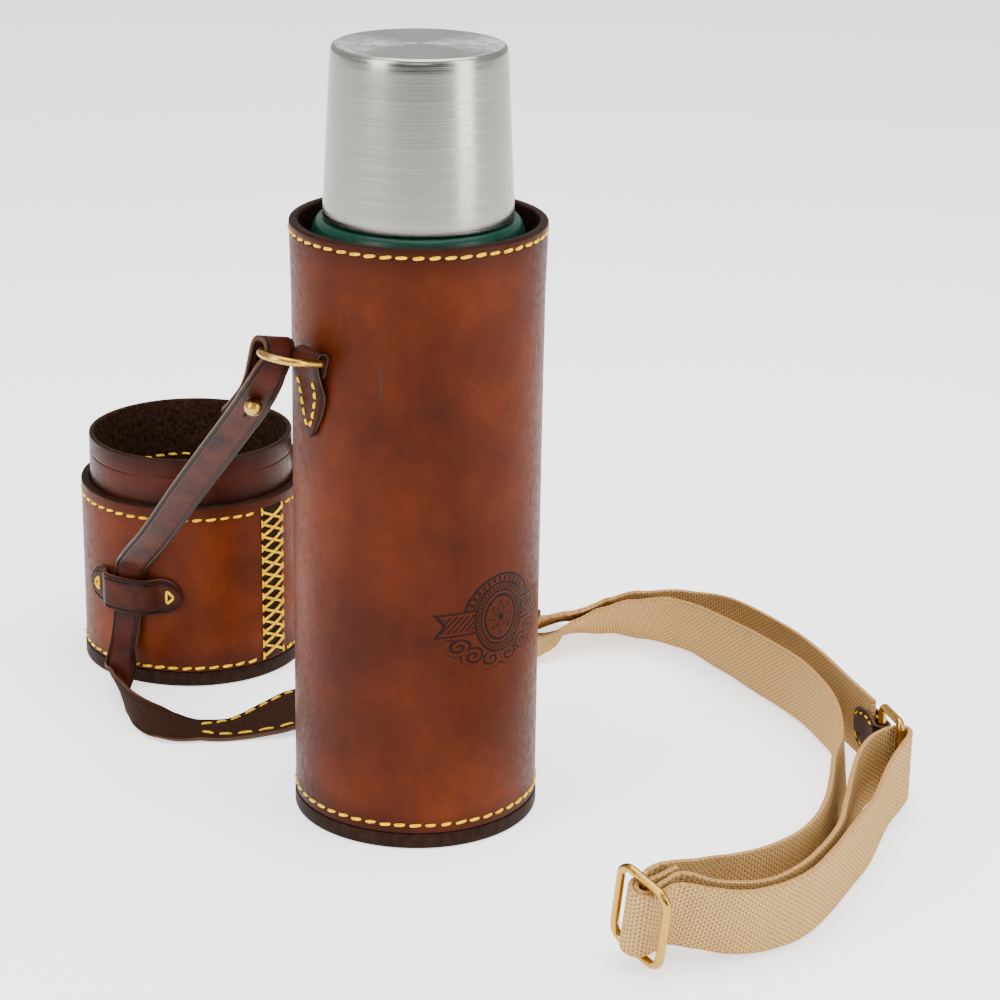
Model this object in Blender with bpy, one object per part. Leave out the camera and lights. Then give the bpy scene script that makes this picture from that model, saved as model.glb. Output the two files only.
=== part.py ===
"""Leather-cased vacuum flask with a separate lid and an adjustable shoulder strap.

Metres, +Z up. The origin is the centre of the case's base, -Y is the front.
Angles named *_AZ are measured about a vertical axis from -Y towards +X.
"""
import math

import bmesh
import bpy
from mathutils import Vector

MM = 0.001
GAP = 0.3 * MM
SEGMENTS = 48

# Case
CASE_RADIUS = 52.5 * MM
CASE_INNER = 49.3 * MM
CASE_RIM_RADIUS = 53.4 * MM
CASE_HEIGHT = 261.5 * MM
SOLE_HEIGHT = 7.0 * MM
SOLE_RADIUS = 52.9 * MM
FLOOR_TOP = 9.6 * MM
CASE_BASE_STITCH_Z = 8.9 * MM
CASE_TOP_STITCH_Z = 257.8 * MM
THREAD = 0.8 * MM
SEAM_AZ = 229.0
SEAM_WIDTH = 14.0 * MM

# Lid, standing on its closed end
LID_CENTRE = Vector((-110.0, 172.2, 0.0)) * MM
LID_RADIUS = 53.5 * MM
LID_INNER = 49.4 * MM
LID_HEIGHT = 90.8 * MM
LID_SOLE_HEIGHT = 7.4 * MM
LID_SOLE_RADIUS = 53.9 * MM
LID_BASE_STITCH_Z = 9.4 * MM
LID_TOP_STITCH_Z = 84.8 * MM
SLEEVE_RADIUS = 49.0 * MM
SLEEVE_INNER = 46.4 * MM
SLEEVE_TOP = 113.4 * MM
LID_FLOOR_TOP = 9.8 * MM
LACING_AZ = 49.5
KEEPER_AZ = (-29.0, 151.0)
KEEPER_Z = 46.8 * MM
KEEPER_WIDTH = 17.6 * MM
KEEPER_THICKNESS = 2.2 * MM
KEEPER_LIFT = 59.7 * MM

# Flask
BODY_RADIUS = 45.0 * MM
SHOULDER_RADIUS = 41.2 * MM
SHOULDER_Z = 262.0 * MM
SHELL_BASE_Z = 12.6 * MM
NECK_RADIUS = 29.0 * MM
NECK_TOP = 297.0 * MM
CUP_BASE_Z = 262.6 * MM
CUP_BASE_RADIUS = 39.5 * MM
CUP_TOP_RADIUS = 36.1 * MM
CUP_SHOULDER_Z = 328.2 * MM
CUP_TOP = 333.0 * MM
CUP_FLAT_RADIUS = 32.6 * MM
CUP_WALL = 0.9 * MM

# Strap hardware
LEATHER = 2.6 * MM
BILLET_WIDTH = 15.0 * MM
WIRE = 1.6 * MM
RING_HALF_WIDTH = 11.5 * MM
RING_STRAIGHT = 9.0 * MM
WEBBING = 2.2 * MM
WEBBING_WIDTH = 32.0 * MM
SLIDE_WIRE = 1.8 * MM
SLIDE_HALF_HEIGHT = 18.4 * MM
SLIDE_HALF_LENGTH = 13.2 * MM
LOOP_LOW_Z = 2.0 * MM
LOOP_HIGH_Z = 39.3 * MM


def clear_scene():
    for item in list(bpy.data.objects):
        bpy.data.objects.remove(item, do_unlink=True)


def material(name, colour, roughness, metallic=0.0):
    made = bpy.data.materials.new(name)
    made.use_nodes = True
    shader = made.node_tree.nodes["Principled BSDF"]
    shader.inputs["Base Color"].default_value = (*colour, 1.0)
    shader.inputs["Roughness"].default_value = roughness
    shader.inputs["Metallic"].default_value = metallic
    return made


def finish_object(name, mesh_data, finish, parent=None):
    """Turn a bmesh into a named object with one material and outward normals."""
    bmesh.ops.recalc_face_normals(mesh_data, faces=mesh_data.faces)
    mesh = bpy.data.meshes.new(name)
    mesh_data.to_mesh(mesh)
    mesh_data.free()
    mesh.materials.append(finish)
    mesh.shade_smooth()
    mesh.set_sharp_from_angle(angle=math.radians(35))
    made = bpy.data.objects.new(name, mesh)
    bpy.context.scene.collection.objects.link(made)
    if parent:
        made.parent = parent
    return made


def empty(name, location):
    made = bpy.data.objects.new(name, None)
    made.location = location
    made.empty_display_size = 0.01
    bpy.context.scene.collection.objects.link(made)
    return made


def outward(azimuth):
    angle = math.radians(azimuth)
    return Vector((math.sin(angle), -math.cos(angle), 0.0))


def tangent(azimuth):
    angle = math.radians(azimuth)
    return Vector((math.cos(angle), math.sin(angle), 0.0))


def turned(name, profile, finish, centre=(0, 0, 0), parent=None):
    """Lathe a closed (radius, z) outline; points at radius 0 become poles."""
    data = bmesh.new()
    rings = []
    for radius, height in profile:
        if radius < 1e-7:
            rings.append([data.verts.new((centre[0], centre[1], centre[2] + height))])
            continue
        ring = []
        for step in range(SEGMENTS):
            angle = 2 * math.pi * step / SEGMENTS
            x = centre[0] + radius * math.cos(angle)
            y = centre[1] + radius * math.sin(angle)
            ring.append(data.verts.new((x, y, centre[2] + height)))
        rings.append(ring)
    for index, lower in enumerate(rings):
        upper = rings[(index + 1) % len(rings)]
        if len(lower) == 1 and len(upper) == 1:
            continue
        for step in range(SEGMENTS):
            after = (step + 1) % SEGMENTS
            corners = [lower[step % len(lower)], lower[after % len(lower)],
                       upper[after % len(upper)], upper[step % len(upper)]]
            data.faces.new(list(dict.fromkeys(corners)))
    return finish_object(name, data, finish, parent)


def smooth_stations(stations, per_span):
    """Run a Catmull-Rom curve through (point, width direction, width) stations."""
    made = []
    last = len(stations) - 1
    for index in range(last):
        quad = [stations[max(index - 1, 0)], stations[index],
                stations[index + 1], stations[min(index + 2, last)]]
        for step in range(per_span):
            t = step / per_span
            weights = (-0.5 * t + t * t - 0.5 * t ** 3, 1 - 2.5 * t * t + 1.5 * t ** 3,
                       0.5 * t + 2 * t * t - 1.5 * t ** 3, -0.5 * t * t + 0.5 * t ** 3)
            point = sum((w * Vector(q[0]) for w, q in zip(weights, quad)), Vector())
            across = Vector(quad[1][1]).lerp(Vector(quad[2][1]), t)
            width = quad[1][2] * (1 - t) + quad[2][2] * t
            made.append((point, across, width))
    point, across, width = stations[last]
    made.append((Vector(point), Vector(across), width))
    return made


def ribbon(name, stations, thickness, finish, per_span=3, parent=None):
    """Sweep a flat strip; each station gives its middle, width direction and width."""
    data = bmesh.new()
    path = smooth_stations(stations, per_span)
    rings = []
    for index, (point, across, width) in enumerate(path):
        before = path[max(index - 1, 0)][0]
        after = path[min(index + 1, len(path) - 1)][0]
        along = (after - before).normalized()
        across = (across - along * across.dot(along)).normalized()
        normal = along.cross(across)
        half = across * (width / 2)
        rise = normal * (thickness / 2)
        rings.append([data.verts.new(point + half + rise), data.verts.new(point - half + rise),
                      data.verts.new(point - half - rise), data.verts.new(point + half - rise)])
    for lower, upper in zip(rings, rings[1:]):
        for side in range(4):
            after = (side + 1) % 4
            data.faces.new((lower[side], lower[after], upper[after], upper[side]))
    data.faces.new(rings[0])
    data.faces.new(rings[-1])
    return finish_object(name, data, finish, parent)


def wire_loop(name, path, normal, radius, finish, parent=None, sides=10):
    """Sweep a round wire along a closed flat path."""
    data = bmesh.new()
    rings = []
    count = len(path)
    for index, point in enumerate(path):
        along = (path[(index + 1) % count] - path[index - 1]).normalized()
        sideways = along.cross(normal).normalized()
        ring = []
        for step in range(sides):
            angle = 2 * math.pi * step / sides
            offset = sideways * math.cos(angle) + normal * math.sin(angle)
            ring.append(data.verts.new(point + offset * radius))
        rings.append(ring)
    for index, ring in enumerate(rings):
        following = rings[(index + 1) % count]
        for step in range(sides):
            after = (step + 1) % sides
            data.faces.new((ring[step], ring[after], following[after], following[step]))
    return finish_object(name, data, finish, parent)


def rounded_outline(centre, axis_a, axis_b, half_a, half_b, corner, steps=6):
    """Points of a rounded rectangle in the plane of two unit axes."""
    points = []
    for quarter, (sign_a, sign_b) in enumerate(((1, 1), (-1, 1), (-1, -1), (1, -1))):
        hub = centre + axis_a * sign_a * (half_a - corner) + axis_b * sign_b * (half_b - corner)
        for step in range(steps + 1):
            angle = math.pi / 2 * (quarter + step / steps)
            points.append(hub + (axis_a * math.cos(angle) + axis_b * math.sin(angle)) * corner)
    return points


def rod(name, start, end, radius, finish, sides=10):
    """A plain round bar between two points, used as a tool for joining or cutting."""
    data = bmesh.new()
    along = (end - start).normalized()
    side = along.orthogonal().normalized()
    other = along.cross(side)
    rings = []
    for point in (start, end):
        rings.append([data.verts.new(point + (side * math.cos(a) + other * math.sin(a)) * radius)
                      for a in (2 * math.pi * step / sides for step in range(sides))])
    for step in range(sides):
        after = (step + 1) % sides
        data.faces.new((rings[0][step], rings[0][after], rings[1][after], rings[1][step]))
    data.faces.new(rings[0])
    data.faces.new(rings[1])
    return finish_object(name, data, finish)


def combine(target, tool, operation):
    """Join a tool to a target, or cut it out, and keep the tool as a hidden guide."""
    tool.hide_render = True
    tool.display_type = "WIRE"
    modifier = target.modifiers.new(operation.title(), "BOOLEAN")
    modifier.operation = operation
    modifier.solver = "EXACT"
    modifier.object = tool


def ring_wall(inner, outer, low, high):
    return [(inner, low), (outer, low), (outer, high), (inner, high)]


def thread_ring(name, wall_radius, height, finish, centre=(0, 0, 0), parent=None):
    """One row of stitching, as a thin band that stands just off the wall."""
    inner = wall_radius + GAP
    outline = ring_wall(inner, inner + 0.5 * MM, height - THREAD / 2, height + THREAD / 2)
    return turned(name, outline, finish, centre, parent)


def lacing_strip(name, centre, wall_radius, azimuth, low, high, finish, parent=None):
    """The crossed stitches of a seam, as a thin strip that follows the wall."""
    radius = wall_radius + GAP + 0.5 * MM
    half_angle = math.degrees(SEAM_WIDTH / 2 / wall_radius)
    middle = (low + high) / 2
    stations = []
    for step in range(5):
        angle = azimuth - half_angle + half_angle * step / 2
        point = Vector(centre) + outward(angle) * radius + Vector((0, 0, middle))
        stations.append((point, Vector((0, 0, 1)), high - low))
    return ribbon(name, stations, 0.9 * MM, finish, 2, parent)


def build_case(leather, dark, thread, lining, root):
    wall = [(CASE_INNER, SOLE_HEIGHT + GAP), (CASE_RADIUS, SOLE_HEIGHT + GAP),
            (CASE_RADIUS, CASE_HEIGHT - 30 * MM), (CASE_RIM_RADIUS, CASE_HEIGHT - 0.8 * MM),
            (CASE_RIM_RADIUS - 0.8 * MM, CASE_HEIGHT), (CASE_INNER + 0.8 * MM, CASE_HEIGHT),
            (CASE_INNER, CASE_HEIGHT - 0.8 * MM)]
    turned("case_wall", wall, leather, parent=root)
    sole = [(0, 0), (SOLE_RADIUS - 0.8 * MM, 0), (SOLE_RADIUS, 0.8 * MM),
            (SOLE_RADIUS, SOLE_HEIGHT - 0.6 * MM), (SOLE_RADIUS - 0.6 * MM, SOLE_HEIGHT),
            (0, SOLE_HEIGHT)]
    turned("case_sole", sole, dark, parent=root)
    pad_low = SOLE_HEIGHT + GAP
    pad = [(0, pad_low), (CASE_INNER - GAP, pad_low), (CASE_INNER - GAP, FLOOR_TOP), (0, FLOOR_TOP)]
    turned("case_floor_pad", pad, lining, parent=root)
    thread_ring("case_base_thread", CASE_RADIUS, CASE_BASE_STITCH_Z, thread, parent=root)
    thread_ring("case_top_thread", CASE_RIM_RADIUS, CASE_TOP_STITCH_Z, thread, parent=root)
    lacing_strip("case_seam_lacing", (0, 0, 0), CASE_RADIUS, SEAM_AZ,
                 12 * MM, CASE_HEIGHT - 34 * MM, thread, root)


def build_lid(leather, dark, thread, lining, pivot):
    """The lid's parts hang from an empty on its lift axis, so they use local places."""
    wall = [(LID_INNER, LID_SOLE_HEIGHT + GAP), (LID_RADIUS, LID_SOLE_HEIGHT + GAP),
            (LID_RADIUS, LID_HEIGHT - 0.8 * MM), (LID_RADIUS - 0.8 * MM, LID_HEIGHT),
            (LID_INNER + 0.6 * MM, LID_HEIGHT), (LID_INNER, LID_HEIGHT - 0.6 * MM)]
    turned("lid_wall", wall, leather, parent=pivot)
    sole = [(0, 0), (LID_SOLE_RADIUS - 0.8 * MM, 0), (LID_SOLE_RADIUS, 0.8 * MM),
            (LID_SOLE_RADIUS, LID_SOLE_HEIGHT - 0.6 * MM),
            (LID_SOLE_RADIUS - 0.6 * MM, LID_SOLE_HEIGHT), (0, LID_SOLE_HEIGHT)]
    turned("lid_sole", sole, dark, parent=pivot)
    low = LID_SOLE_HEIGHT + GAP
    sleeve = [(SLEEVE_INNER, low), (SLEEVE_RADIUS, low), (SLEEVE_RADIUS, SLEEVE_TOP - 0.8 * MM),
              (SLEEVE_RADIUS - 0.8 * MM, SLEEVE_TOP), (SLEEVE_INNER + 0.6 * MM, SLEEVE_TOP),
              (SLEEVE_INNER, SLEEVE_TOP - 0.6 * MM)]
    turned("lid_sleeve", sleeve, leather, parent=pivot)
    disc = [(0, low), (SLEEVE_INNER - GAP, low), (SLEEVE_INNER - GAP, LID_FLOOR_TOP),
            (0, LID_FLOOR_TOP)]
    turned("lid_lining_disc", disc, lining, parent=pivot)
    thread_ring("lid_base_thread", LID_RADIUS, LID_BASE_STITCH_Z, thread, parent=pivot)
    thread_ring("lid_top_thread", LID_RADIUS, LID_TOP_STITCH_Z, thread, parent=pivot)
    lacing_strip("lid_seam_lacing", (0, 0, 0), LID_RADIUS, LACING_AZ,
                 LID_BASE_STITCH_Z + 1.5 * MM, LID_TOP_STITCH_Z - 1.5 * MM, thread, pivot)
    for name, azimuth in zip(("keeper_front", "keeper_back"), KEEPER_AZ):
        build_keeper(name, azimuth, dark, pivot)


def build_keeper(name, azimuth, finish, pivot):
    """A strap keeper with pointed ends on the wall and a raised middle."""
    low = LID_RADIUS + GAP + KEEPER_THICKNESS / 2
    outline = ((-27.5, low, 0.25), (-22.0, low, 0.8), (-17.0, low + 0.4 * MM, 1.0),
               (-12.5, KEEPER_LIFT - 1.2 * MM, 1.0), (-9.0, KEEPER_LIFT, 1.0),
               (0.0, KEEPER_LIFT, 1.0), (9.0, KEEPER_LIFT, 1.0),
               (12.5, KEEPER_LIFT - 1.2 * MM, 1.0), (17.0, low + 0.4 * MM, 1.0),
               (22.0, low, 0.8), (27.5, low, 0.25))
    stations = []
    for angle, radius, share in outline:
        point = outward(azimuth + angle) * radius + Vector((0, 0, KEEPER_Z))
        stations.append((point, Vector((0, 0, 1)), KEEPER_WIDTH * share))
    ribbon(name, stations, KEEPER_THICKNESS, finish, 3, pivot)


def build_flask(steel, green, rubber, pivot):
    wall = 1.2 * MM
    shoulder = [(BODY_RADIUS, SHOULDER_Z - 15 * MM), (BODY_RADIUS - 0.5 * MM, SHOULDER_Z - 9 * MM),
                (BODY_RADIUS - 1.8 * MM, SHOULDER_Z - 4 * MM), (SHOULDER_RADIUS, SHOULDER_Z)]
    outer = [(BODY_RADIUS, SHELL_BASE_Z)] + shoulder
    outer += [(NECK_RADIUS, SHOULDER_Z + 0.2 * MM), (NECK_RADIUS, NECK_TOP)]
    inner = [(radius - wall, height - wall * 0.6) for radius, height in reversed(outer[1:-1])]
    inner[0] = (NECK_RADIUS - wall, SHOULDER_Z - wall)
    outline = outer + [(NECK_RADIUS - wall, NECK_TOP)] + inner + [(BODY_RADIUS - wall, SHELL_BASE_Z)]
    turned("flask_shell", outline, green, parent=pivot)
    cap_top = SHELL_BASE_Z + 3 * MM
    cap = [(0, FLOOR_TOP + GAP), (BODY_RADIUS - 2 * MM, FLOOR_TOP + GAP),
           (BODY_RADIUS, FLOOR_TOP + 2 * MM), (BODY_RADIUS, SHELL_BASE_Z - GAP),
           (BODY_RADIUS - wall - GAP, SHELL_BASE_Z - GAP), (BODY_RADIUS - wall - GAP, cap_top),
           (0, cap_top)]
    turned("flask_base_cap", cap, rubber, parent=pivot)
    vessel = 41.5 * MM
    neck = 27.4 * MM
    outline = [(0, 19 * MM), (vessel - 6 * MM, 19 * MM), (vessel, 25 * MM), (vessel, 238 * MM),
               (neck, 252 * MM), (neck, NECK_TOP - 0.5 * MM), (neck - wall, NECK_TOP - 0.5 * MM),
               (neck - wall, 251.2 * MM), (vessel - wall, 237.2 * MM), (vessel - wall, 26 * MM),
               (vessel - 6.4 * MM, 20.2 * MM), (0, 20.2 * MM)]
    turned("flask_inner_vessel", outline, steel, parent=pivot)
    collar = ring_wall(NECK_RADIUS + GAP, 33 * MM, SHOULDER_Z + 0.6 * MM, 288 * MM)
    turned("neck_collar", collar, rubber, parent=pivot)


def build_stopper(rubber, seal, pivot):
    plug = 25.6 * MM
    body = [(0, 262 * MM), (plug - 1 * MM, 262 * MM), (plug, 263 * MM), (plug, 270 * MM),
            (plug - 2 * MM, 270 * MM), (plug - 2 * MM, 273 * MM), (plug, 273 * MM),
            (plug, NECK_TOP + GAP), (31 * MM, NECK_TOP + GAP), (31 * MM, 302 * MM),
            (30 * MM, 303 * MM), (0, 303 * MM)]
    turned("stopper_body", body, rubber, parent=pivot)
    turned("stopper_gasket", ring_wall(plug - 2 * MM + GAP / 2, plug + GAP, 270.3 * MM, 272.7 * MM),
           seal, parent=pivot)
    grip = [(0, 303 * MM + GAP), (24 * MM, 303 * MM + GAP), (23.4 * MM, 315 * MM),
            (22.4 * MM, 316 * MM), (0, 316 * MM)]
    turned("stopper_grip", grip, rubber, parent=pivot)


def build_cup(steel, rubber, pivot):
    fillet = [(CUP_TOP_RADIUS - 0.25 * MM, CUP_SHOULDER_Z + 2 * MM),
              (CUP_TOP_RADIUS - 1.2 * MM, CUP_TOP - 1.2 * MM), (CUP_FLAT_RADIUS, CUP_TOP)]
    outline = [(0, CUP_TOP - CUP_WALL), (CUP_FLAT_RADIUS - 0.3 * MM, CUP_TOP - CUP_WALL),
               (CUP_TOP_RADIUS - 2.2 * MM, CUP_TOP - 2.6 * MM),
               (CUP_TOP_RADIUS - CUP_WALL, CUP_SHOULDER_Z),
               (CUP_BASE_RADIUS - CUP_WALL, CUP_BASE_Z), (CUP_BASE_RADIUS, CUP_BASE_Z),
               (CUP_TOP_RADIUS, CUP_SHOULDER_Z)] + fillet + [(0, CUP_TOP)]
    turned("cup_shell", outline, steel, parent=pivot)
    step = CUP_WALL + GAP
    top = CUP_TOP - 3.4 * MM
    lining = [(0, top - 1.2 * MM), (31.6 * MM, top - 1.2 * MM), (33 * MM, top - 4 * MM),
              (CUP_BASE_RADIUS - step - 1.6 * MM, CUP_BASE_Z + 1 * MM),
              (CUP_BASE_RADIUS - step - 0.1 * MM, CUP_BASE_Z + 1 * MM), (34.4 * MM, top - 4 * MM),
              (32.2 * MM, top), (0, top)]
    turned("cup_lining", lining, rubber, parent=pivot)


def dee_ring(name, bar, along, across, finish, pivot):
    """A D-shaped ring: straight bar at the pivot, round end away from the case."""
    along = Vector(along).normalized()
    across = Vector(across)
    across = (across - along * across.dot(along)).normalized()
    corner = 2.6 * MM
    half = RING_HALF_WIDTH
    start = bar - pivot.location
    path = []
    for step in range(13):
        angle = math.radians(-90 + 15 * step)
        hub = start + along * RING_STRAIGHT
        path.append(hub + (across * math.sin(angle) + along * math.cos(angle)) * half)
    for sign in (1, -1):
        hub = start + along * corner + across * sign * (half - corner)
        for step in range(4):
            angle = math.radians(90 * step / 3 if sign > 0 else 90 - 90 * step / 3)
            path.append(hub + (across * sign * math.cos(angle) - along * math.sin(angle)) * corner)
    return wire_loop(name, path, along.cross(across), WIRE, finish, pivot)


def build_tab(name, azimuth, fold_azimuth, bar, finish, root):
    """A pointed leather tab on the wall that folds over the straight bar of its ring."""
    thickness = 2.2 * MM
    side = tangent(azimuth)
    out = outward(azimuth)
    fold_out = outward(fold_azimuth)
    fold_side = tangent(fold_azimuth)
    up = Vector((0, 0, 1))
    lift = CASE_RADIUS + GAP + thickness / 2 + 0.9 * MM
    fold = WIRE + GAP + thickness / 2 + 0.25 * MM
    reach = math.hypot(bar.x, bar.y)
    low = bar.z - 35 * MM
    width = 20.0 * MM
    stations = [(out * (lift + 0.3 * MM) + up * low, side, 2.5 * MM),
                (out * (lift + 0.4 * MM) + up * (low + 6 * MM), side, 0.62 * width),
                (out * (lift + 0.8 * MM) + up * (low + 14 * MM), side, width),
                (out * (lift + 2.2 * MM) + up * (low + 24 * MM), side, width - 2 * MM)]
    for degrees in (0, 45, 90, 135, 180):
        angle = math.radians(degrees)
        offset = fold_out * math.cos(angle) + up * math.sin(angle)
        stations.append((fold_out * reach + up * bar.z + offset * fold, fold_side, 10 * MM))
    return ribbon(name, stations, thickness, finish, 3, root)


def stud(name, base, normal, finish, root):
    """A ball-headed strap stud: foot, narrow neck and round head on one axis."""
    normal = normal.normalized()
    side = normal.orthogonal().normalized()
    other = normal.cross(side)
    head = 3.75 * MM
    rise = 12.0 * MM
    profile = [(3.2 * MM, 0.0), (3.2 * MM, 0.9 * MM), (1.6 * MM, 1.0 * MM), (1.6 * MM, 8.5 * MM)]
    for degrees in (-55, -30, 0, 30, 60):
        angle = math.radians(degrees)
        profile.append((head * math.cos(angle), rise + head * math.sin(angle)))
    sides = 14
    data = bmesh.new()
    rings = []
    for radius, height in profile:
        rings.append([data.verts.new(base + normal * height
                                     + (side * math.cos(a) + other * math.sin(a)) * radius)
                      for a in (2 * math.pi * step / sides for step in range(sides))])
    for lower, upper in zip(rings, rings[1:]):
        for step in range(sides):
            after = (step + 1) % sides
            data.faces.new((lower[step], lower[after], upper[after], upper[step]))
    data.faces.new(rings[0])
    data.faces.new(rings[-1])
    return finish_object(name, data, finish, root)


def millimetres(rows):
    """Turn (x, y, z, direction x, y, z, width) rows in millimetres into stations."""
    return [(Vector(row[0:3]) * MM, Vector(row[3:6]), row[6] * MM) for row in rows]


FRONT_BILLET = (
    (-75.2, -1.5, 175.6, 0.91, 0.03, -0.40, 15), (-71.3, -10.6, 182.4, 0.91, 0.03, -0.40, 15),
    (-65.4, -24.0, 194.2, 0.88, 0.15, -0.44, 15), (-62.9, -27.6, 204.5, 0.80, 0.45, -0.38, 14),
    (-61.3, -29.9, 215.5, 0.74, 0.61, -0.22, 12.5), (-59.1, -31.3, 218.1, 0.74, 0.61, -0.22, 12.5),
    (-56.7, -34.1, 218.3, 0.74, 0.61, -0.22, 12.5), (-55.6, -36.7, 216.0, 0.74, 0.61, -0.22, 12.5),
    (-56.3, -37.7, 212.5, 0.74, 0.61, -0.22, 12.5), (-59.9, -36.2, 205.5, 0.76, 0.50, -0.42, 14),
    (-62.6, -32.4, 199.2, 0.80, 0.35, -0.46, 15), (-66.0, -26.5, 192.0, 0.88, 0.15, -0.44, 15),
    (-72.0, -13.2, 179.8, 0.91, 0.03, -0.40, 15), (-99.5, 42.0, 129.0, 0.91, -0.08, -0.38, 15),
    (-119.2, 83.4, 90.8, 0.90, -0.25, -0.25, 15), (-130.6, 107.0, 71.0, 0.89, -0.40, -0.10, 15),
    (-135.8, 121.0, 59.5, 0.88, -0.47, 0.0, 15), (-137.3, 123.0, 47.0, 0.875, -0.485, 0.0, 15),
    (-138.2, 123.6, 34.0, 0.866, -0.50, 0.0, 15), (-140.0, 122.6, 22.0, 0.85, -0.53, 0.0, 15),
    (-141.2, 116.0, 12.5, 0.77, -0.40, -0.40, 15), (-140.2, 103.0, 8.4, 0.50, -0.15, -0.85, 15),
    (-135.5, 86.0, 8.0, 0.20, -0.15, -0.96, 15), (-126.5, 68.5, 8.0, 0.0, -0.35, -0.93, 15),
    (-113.0, 60.5, 5.6, -0.05, -0.85, -0.50, 15), (-99.0, 61.5, 3.2, 0.02, -0.97, -0.15, 15),
    (-84.0, 64.5, 2.4, 0.10, -0.98, -0.10, 18), (-68.0, 71.5, 4.4, 0.25, -0.95, -0.10, 27),
    (-54.0, 80.5, 6.2, 0.38, -0.92, -0.06, 33), (-38.0, 92.0, 6.4, 0.50, -0.86, 0.0, 33),
    (-24.0, 102.0, 6.4, 0.60, -0.80, 0.0, 31), (-17.0, 107.0, 6.4, 0.60, -0.80, 0.0, 17))

BACK_BILLET = (
    (26.6, 83.1, 174.4, 0.76, -0.25, -0.60, 15), (32.9, 67.7, 185.5, 0.73, -0.20, -0.66, 15),
    (34.8, 61.0, 189.5, 0.73, -0.18, -0.66, 15), (37.3, 48.3, 195.7, 0.726, -0.183, -0.663, 15),
    (39.6, 46.1, 198.8, 0.726, -0.183, -0.663, 15), (42.6, 47.3, 201.8, 0.726, -0.183, -0.663, 15),
    (44.6, 51.2, 202.9, 0.726, -0.183, -0.663, 15), (44.3, 55.3, 201.5, 0.726, -0.183, -0.663, 15),
    (38.0, 64.2, 192.1, 0.73, -0.18, -0.66, 15), (34.9, 69.7, 187.1, 0.73, -0.20, -0.66, 15),
    (28.6, 85.1, 176.0, 0.76, -0.25, -0.60, 15), (10.0, 118.0, 150.0, 0.78, -0.40, -0.48, 15),
    (-30.0, 178.0, 110.0, 0.82, -0.48, -0.25, 15), (-62.0, 216.0, 83.0, 0.86, -0.48, -0.08, 15),
    (-77.5, 225.0, 69.0, 0.874, -0.485, 0.0, 15), (-82.4, 222.2, 58.5, 0.874, -0.485, 0.0, 15),
    (-82.8, 221.3, 47.0, 0.874, -0.485, 0.0, 15), (-83.2, 221.9, 35.0, 0.874, -0.485, 0.0, 15),
    (-84.2, 225.0, 20.0, 0.80, -0.60, 0.0, 15), (-81.5, 231.0, 9.5, 0.50, -0.85, 0.10, 15),
    (-71.0, 235.0, 3.4, 0.20, -0.98, 0.05, 15), (-55.0, 235.0, 1.8, 0.05, -1.0, 0.0, 15),
    (-30.0, 228.5, 1.8, -0.25, -0.97, 0.0, 15), (-2.0, 215.0, 2.4, -0.42, -0.91, 0.0, 16),
    (18.0, 205.0, 4.8, -0.36, -0.93, 0.03, 28), (38.0, 197.4, 6.4, -0.22, -0.97, 0.08, 33),
    (54.0, 193.0, 7.6, -0.10, -0.97, 0.16, 31), (61.5, 191.4, 8.2, -0.05, -0.97, 0.20, 17))

LONG_WEBBING = (
    (-42.0, 84.0, 1.5, 0.55, -0.84, 0.0, 32), (-20.0, 99.5, 1.5, 0.60, -0.80, 0.0, 32),
    (8.0, 120.5, 1.5, 0.60, -0.80, 0.0, 32), (36.0, 147.0, 3.0, 0.50, -0.86, 0.04, 32),
    (58.5, 164.0, 4.6, 0.20, -0.97, 0.12, 32), (76.6, 171.7, 9.9, 0.0, -0.86, 0.51, 32),
    (94.0, 174.0, 12.8, -0.12, -0.72, 0.69, 32), (110.6, 171.0, 14.6, -0.22, -0.50, 0.83, 32),
    (130.0, 161.5, 16.2, -0.20, -0.28, 0.94, 32), (147.5, 136.5, 16.9, -0.13, -0.12, 0.98, 32),
    (164.0, 108.0, 17.1, -0.07, -0.03, 1.0, 32), (178.8, 79.7, 17.1, -0.05, -0.02, 1.0, 32),
    (186.0, 56.5, 17.1, -0.07, 0.0, 1.0, 32), (189.6, 38.0, 17.1, -0.10, 0.0, 0.99, 32),
    (190.0, 16.0, 17.1, -0.10, 0.0, 0.99, 32), (187.2, -8.0, 17.1, -0.10, 0.0, 0.99, 32),
    (181.6, -27.0, 17.1, -0.10, 0.0, 0.99, 32), (176.9, -50.0, 17.1, -0.09, 0.0, 0.99, 32),
    (172.0, -70.0, 17.1, -0.08, 0.02, 0.99, 32), (164.0, -90.0, 17.2, -0.07, 0.03, 0.99, 32),
    (152.0, -106.5, 17.4, -0.06, 0.02, 0.99, 32), (135.5, -118.5, 17.8, -0.04, -0.04, 0.99, 32),
    (118.0, -125.5, 19.0, -0.01, -0.12, 0.98, 32), (103.5, -134.0, 22.0, 0.03, -0.20, 0.97, 32))

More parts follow.
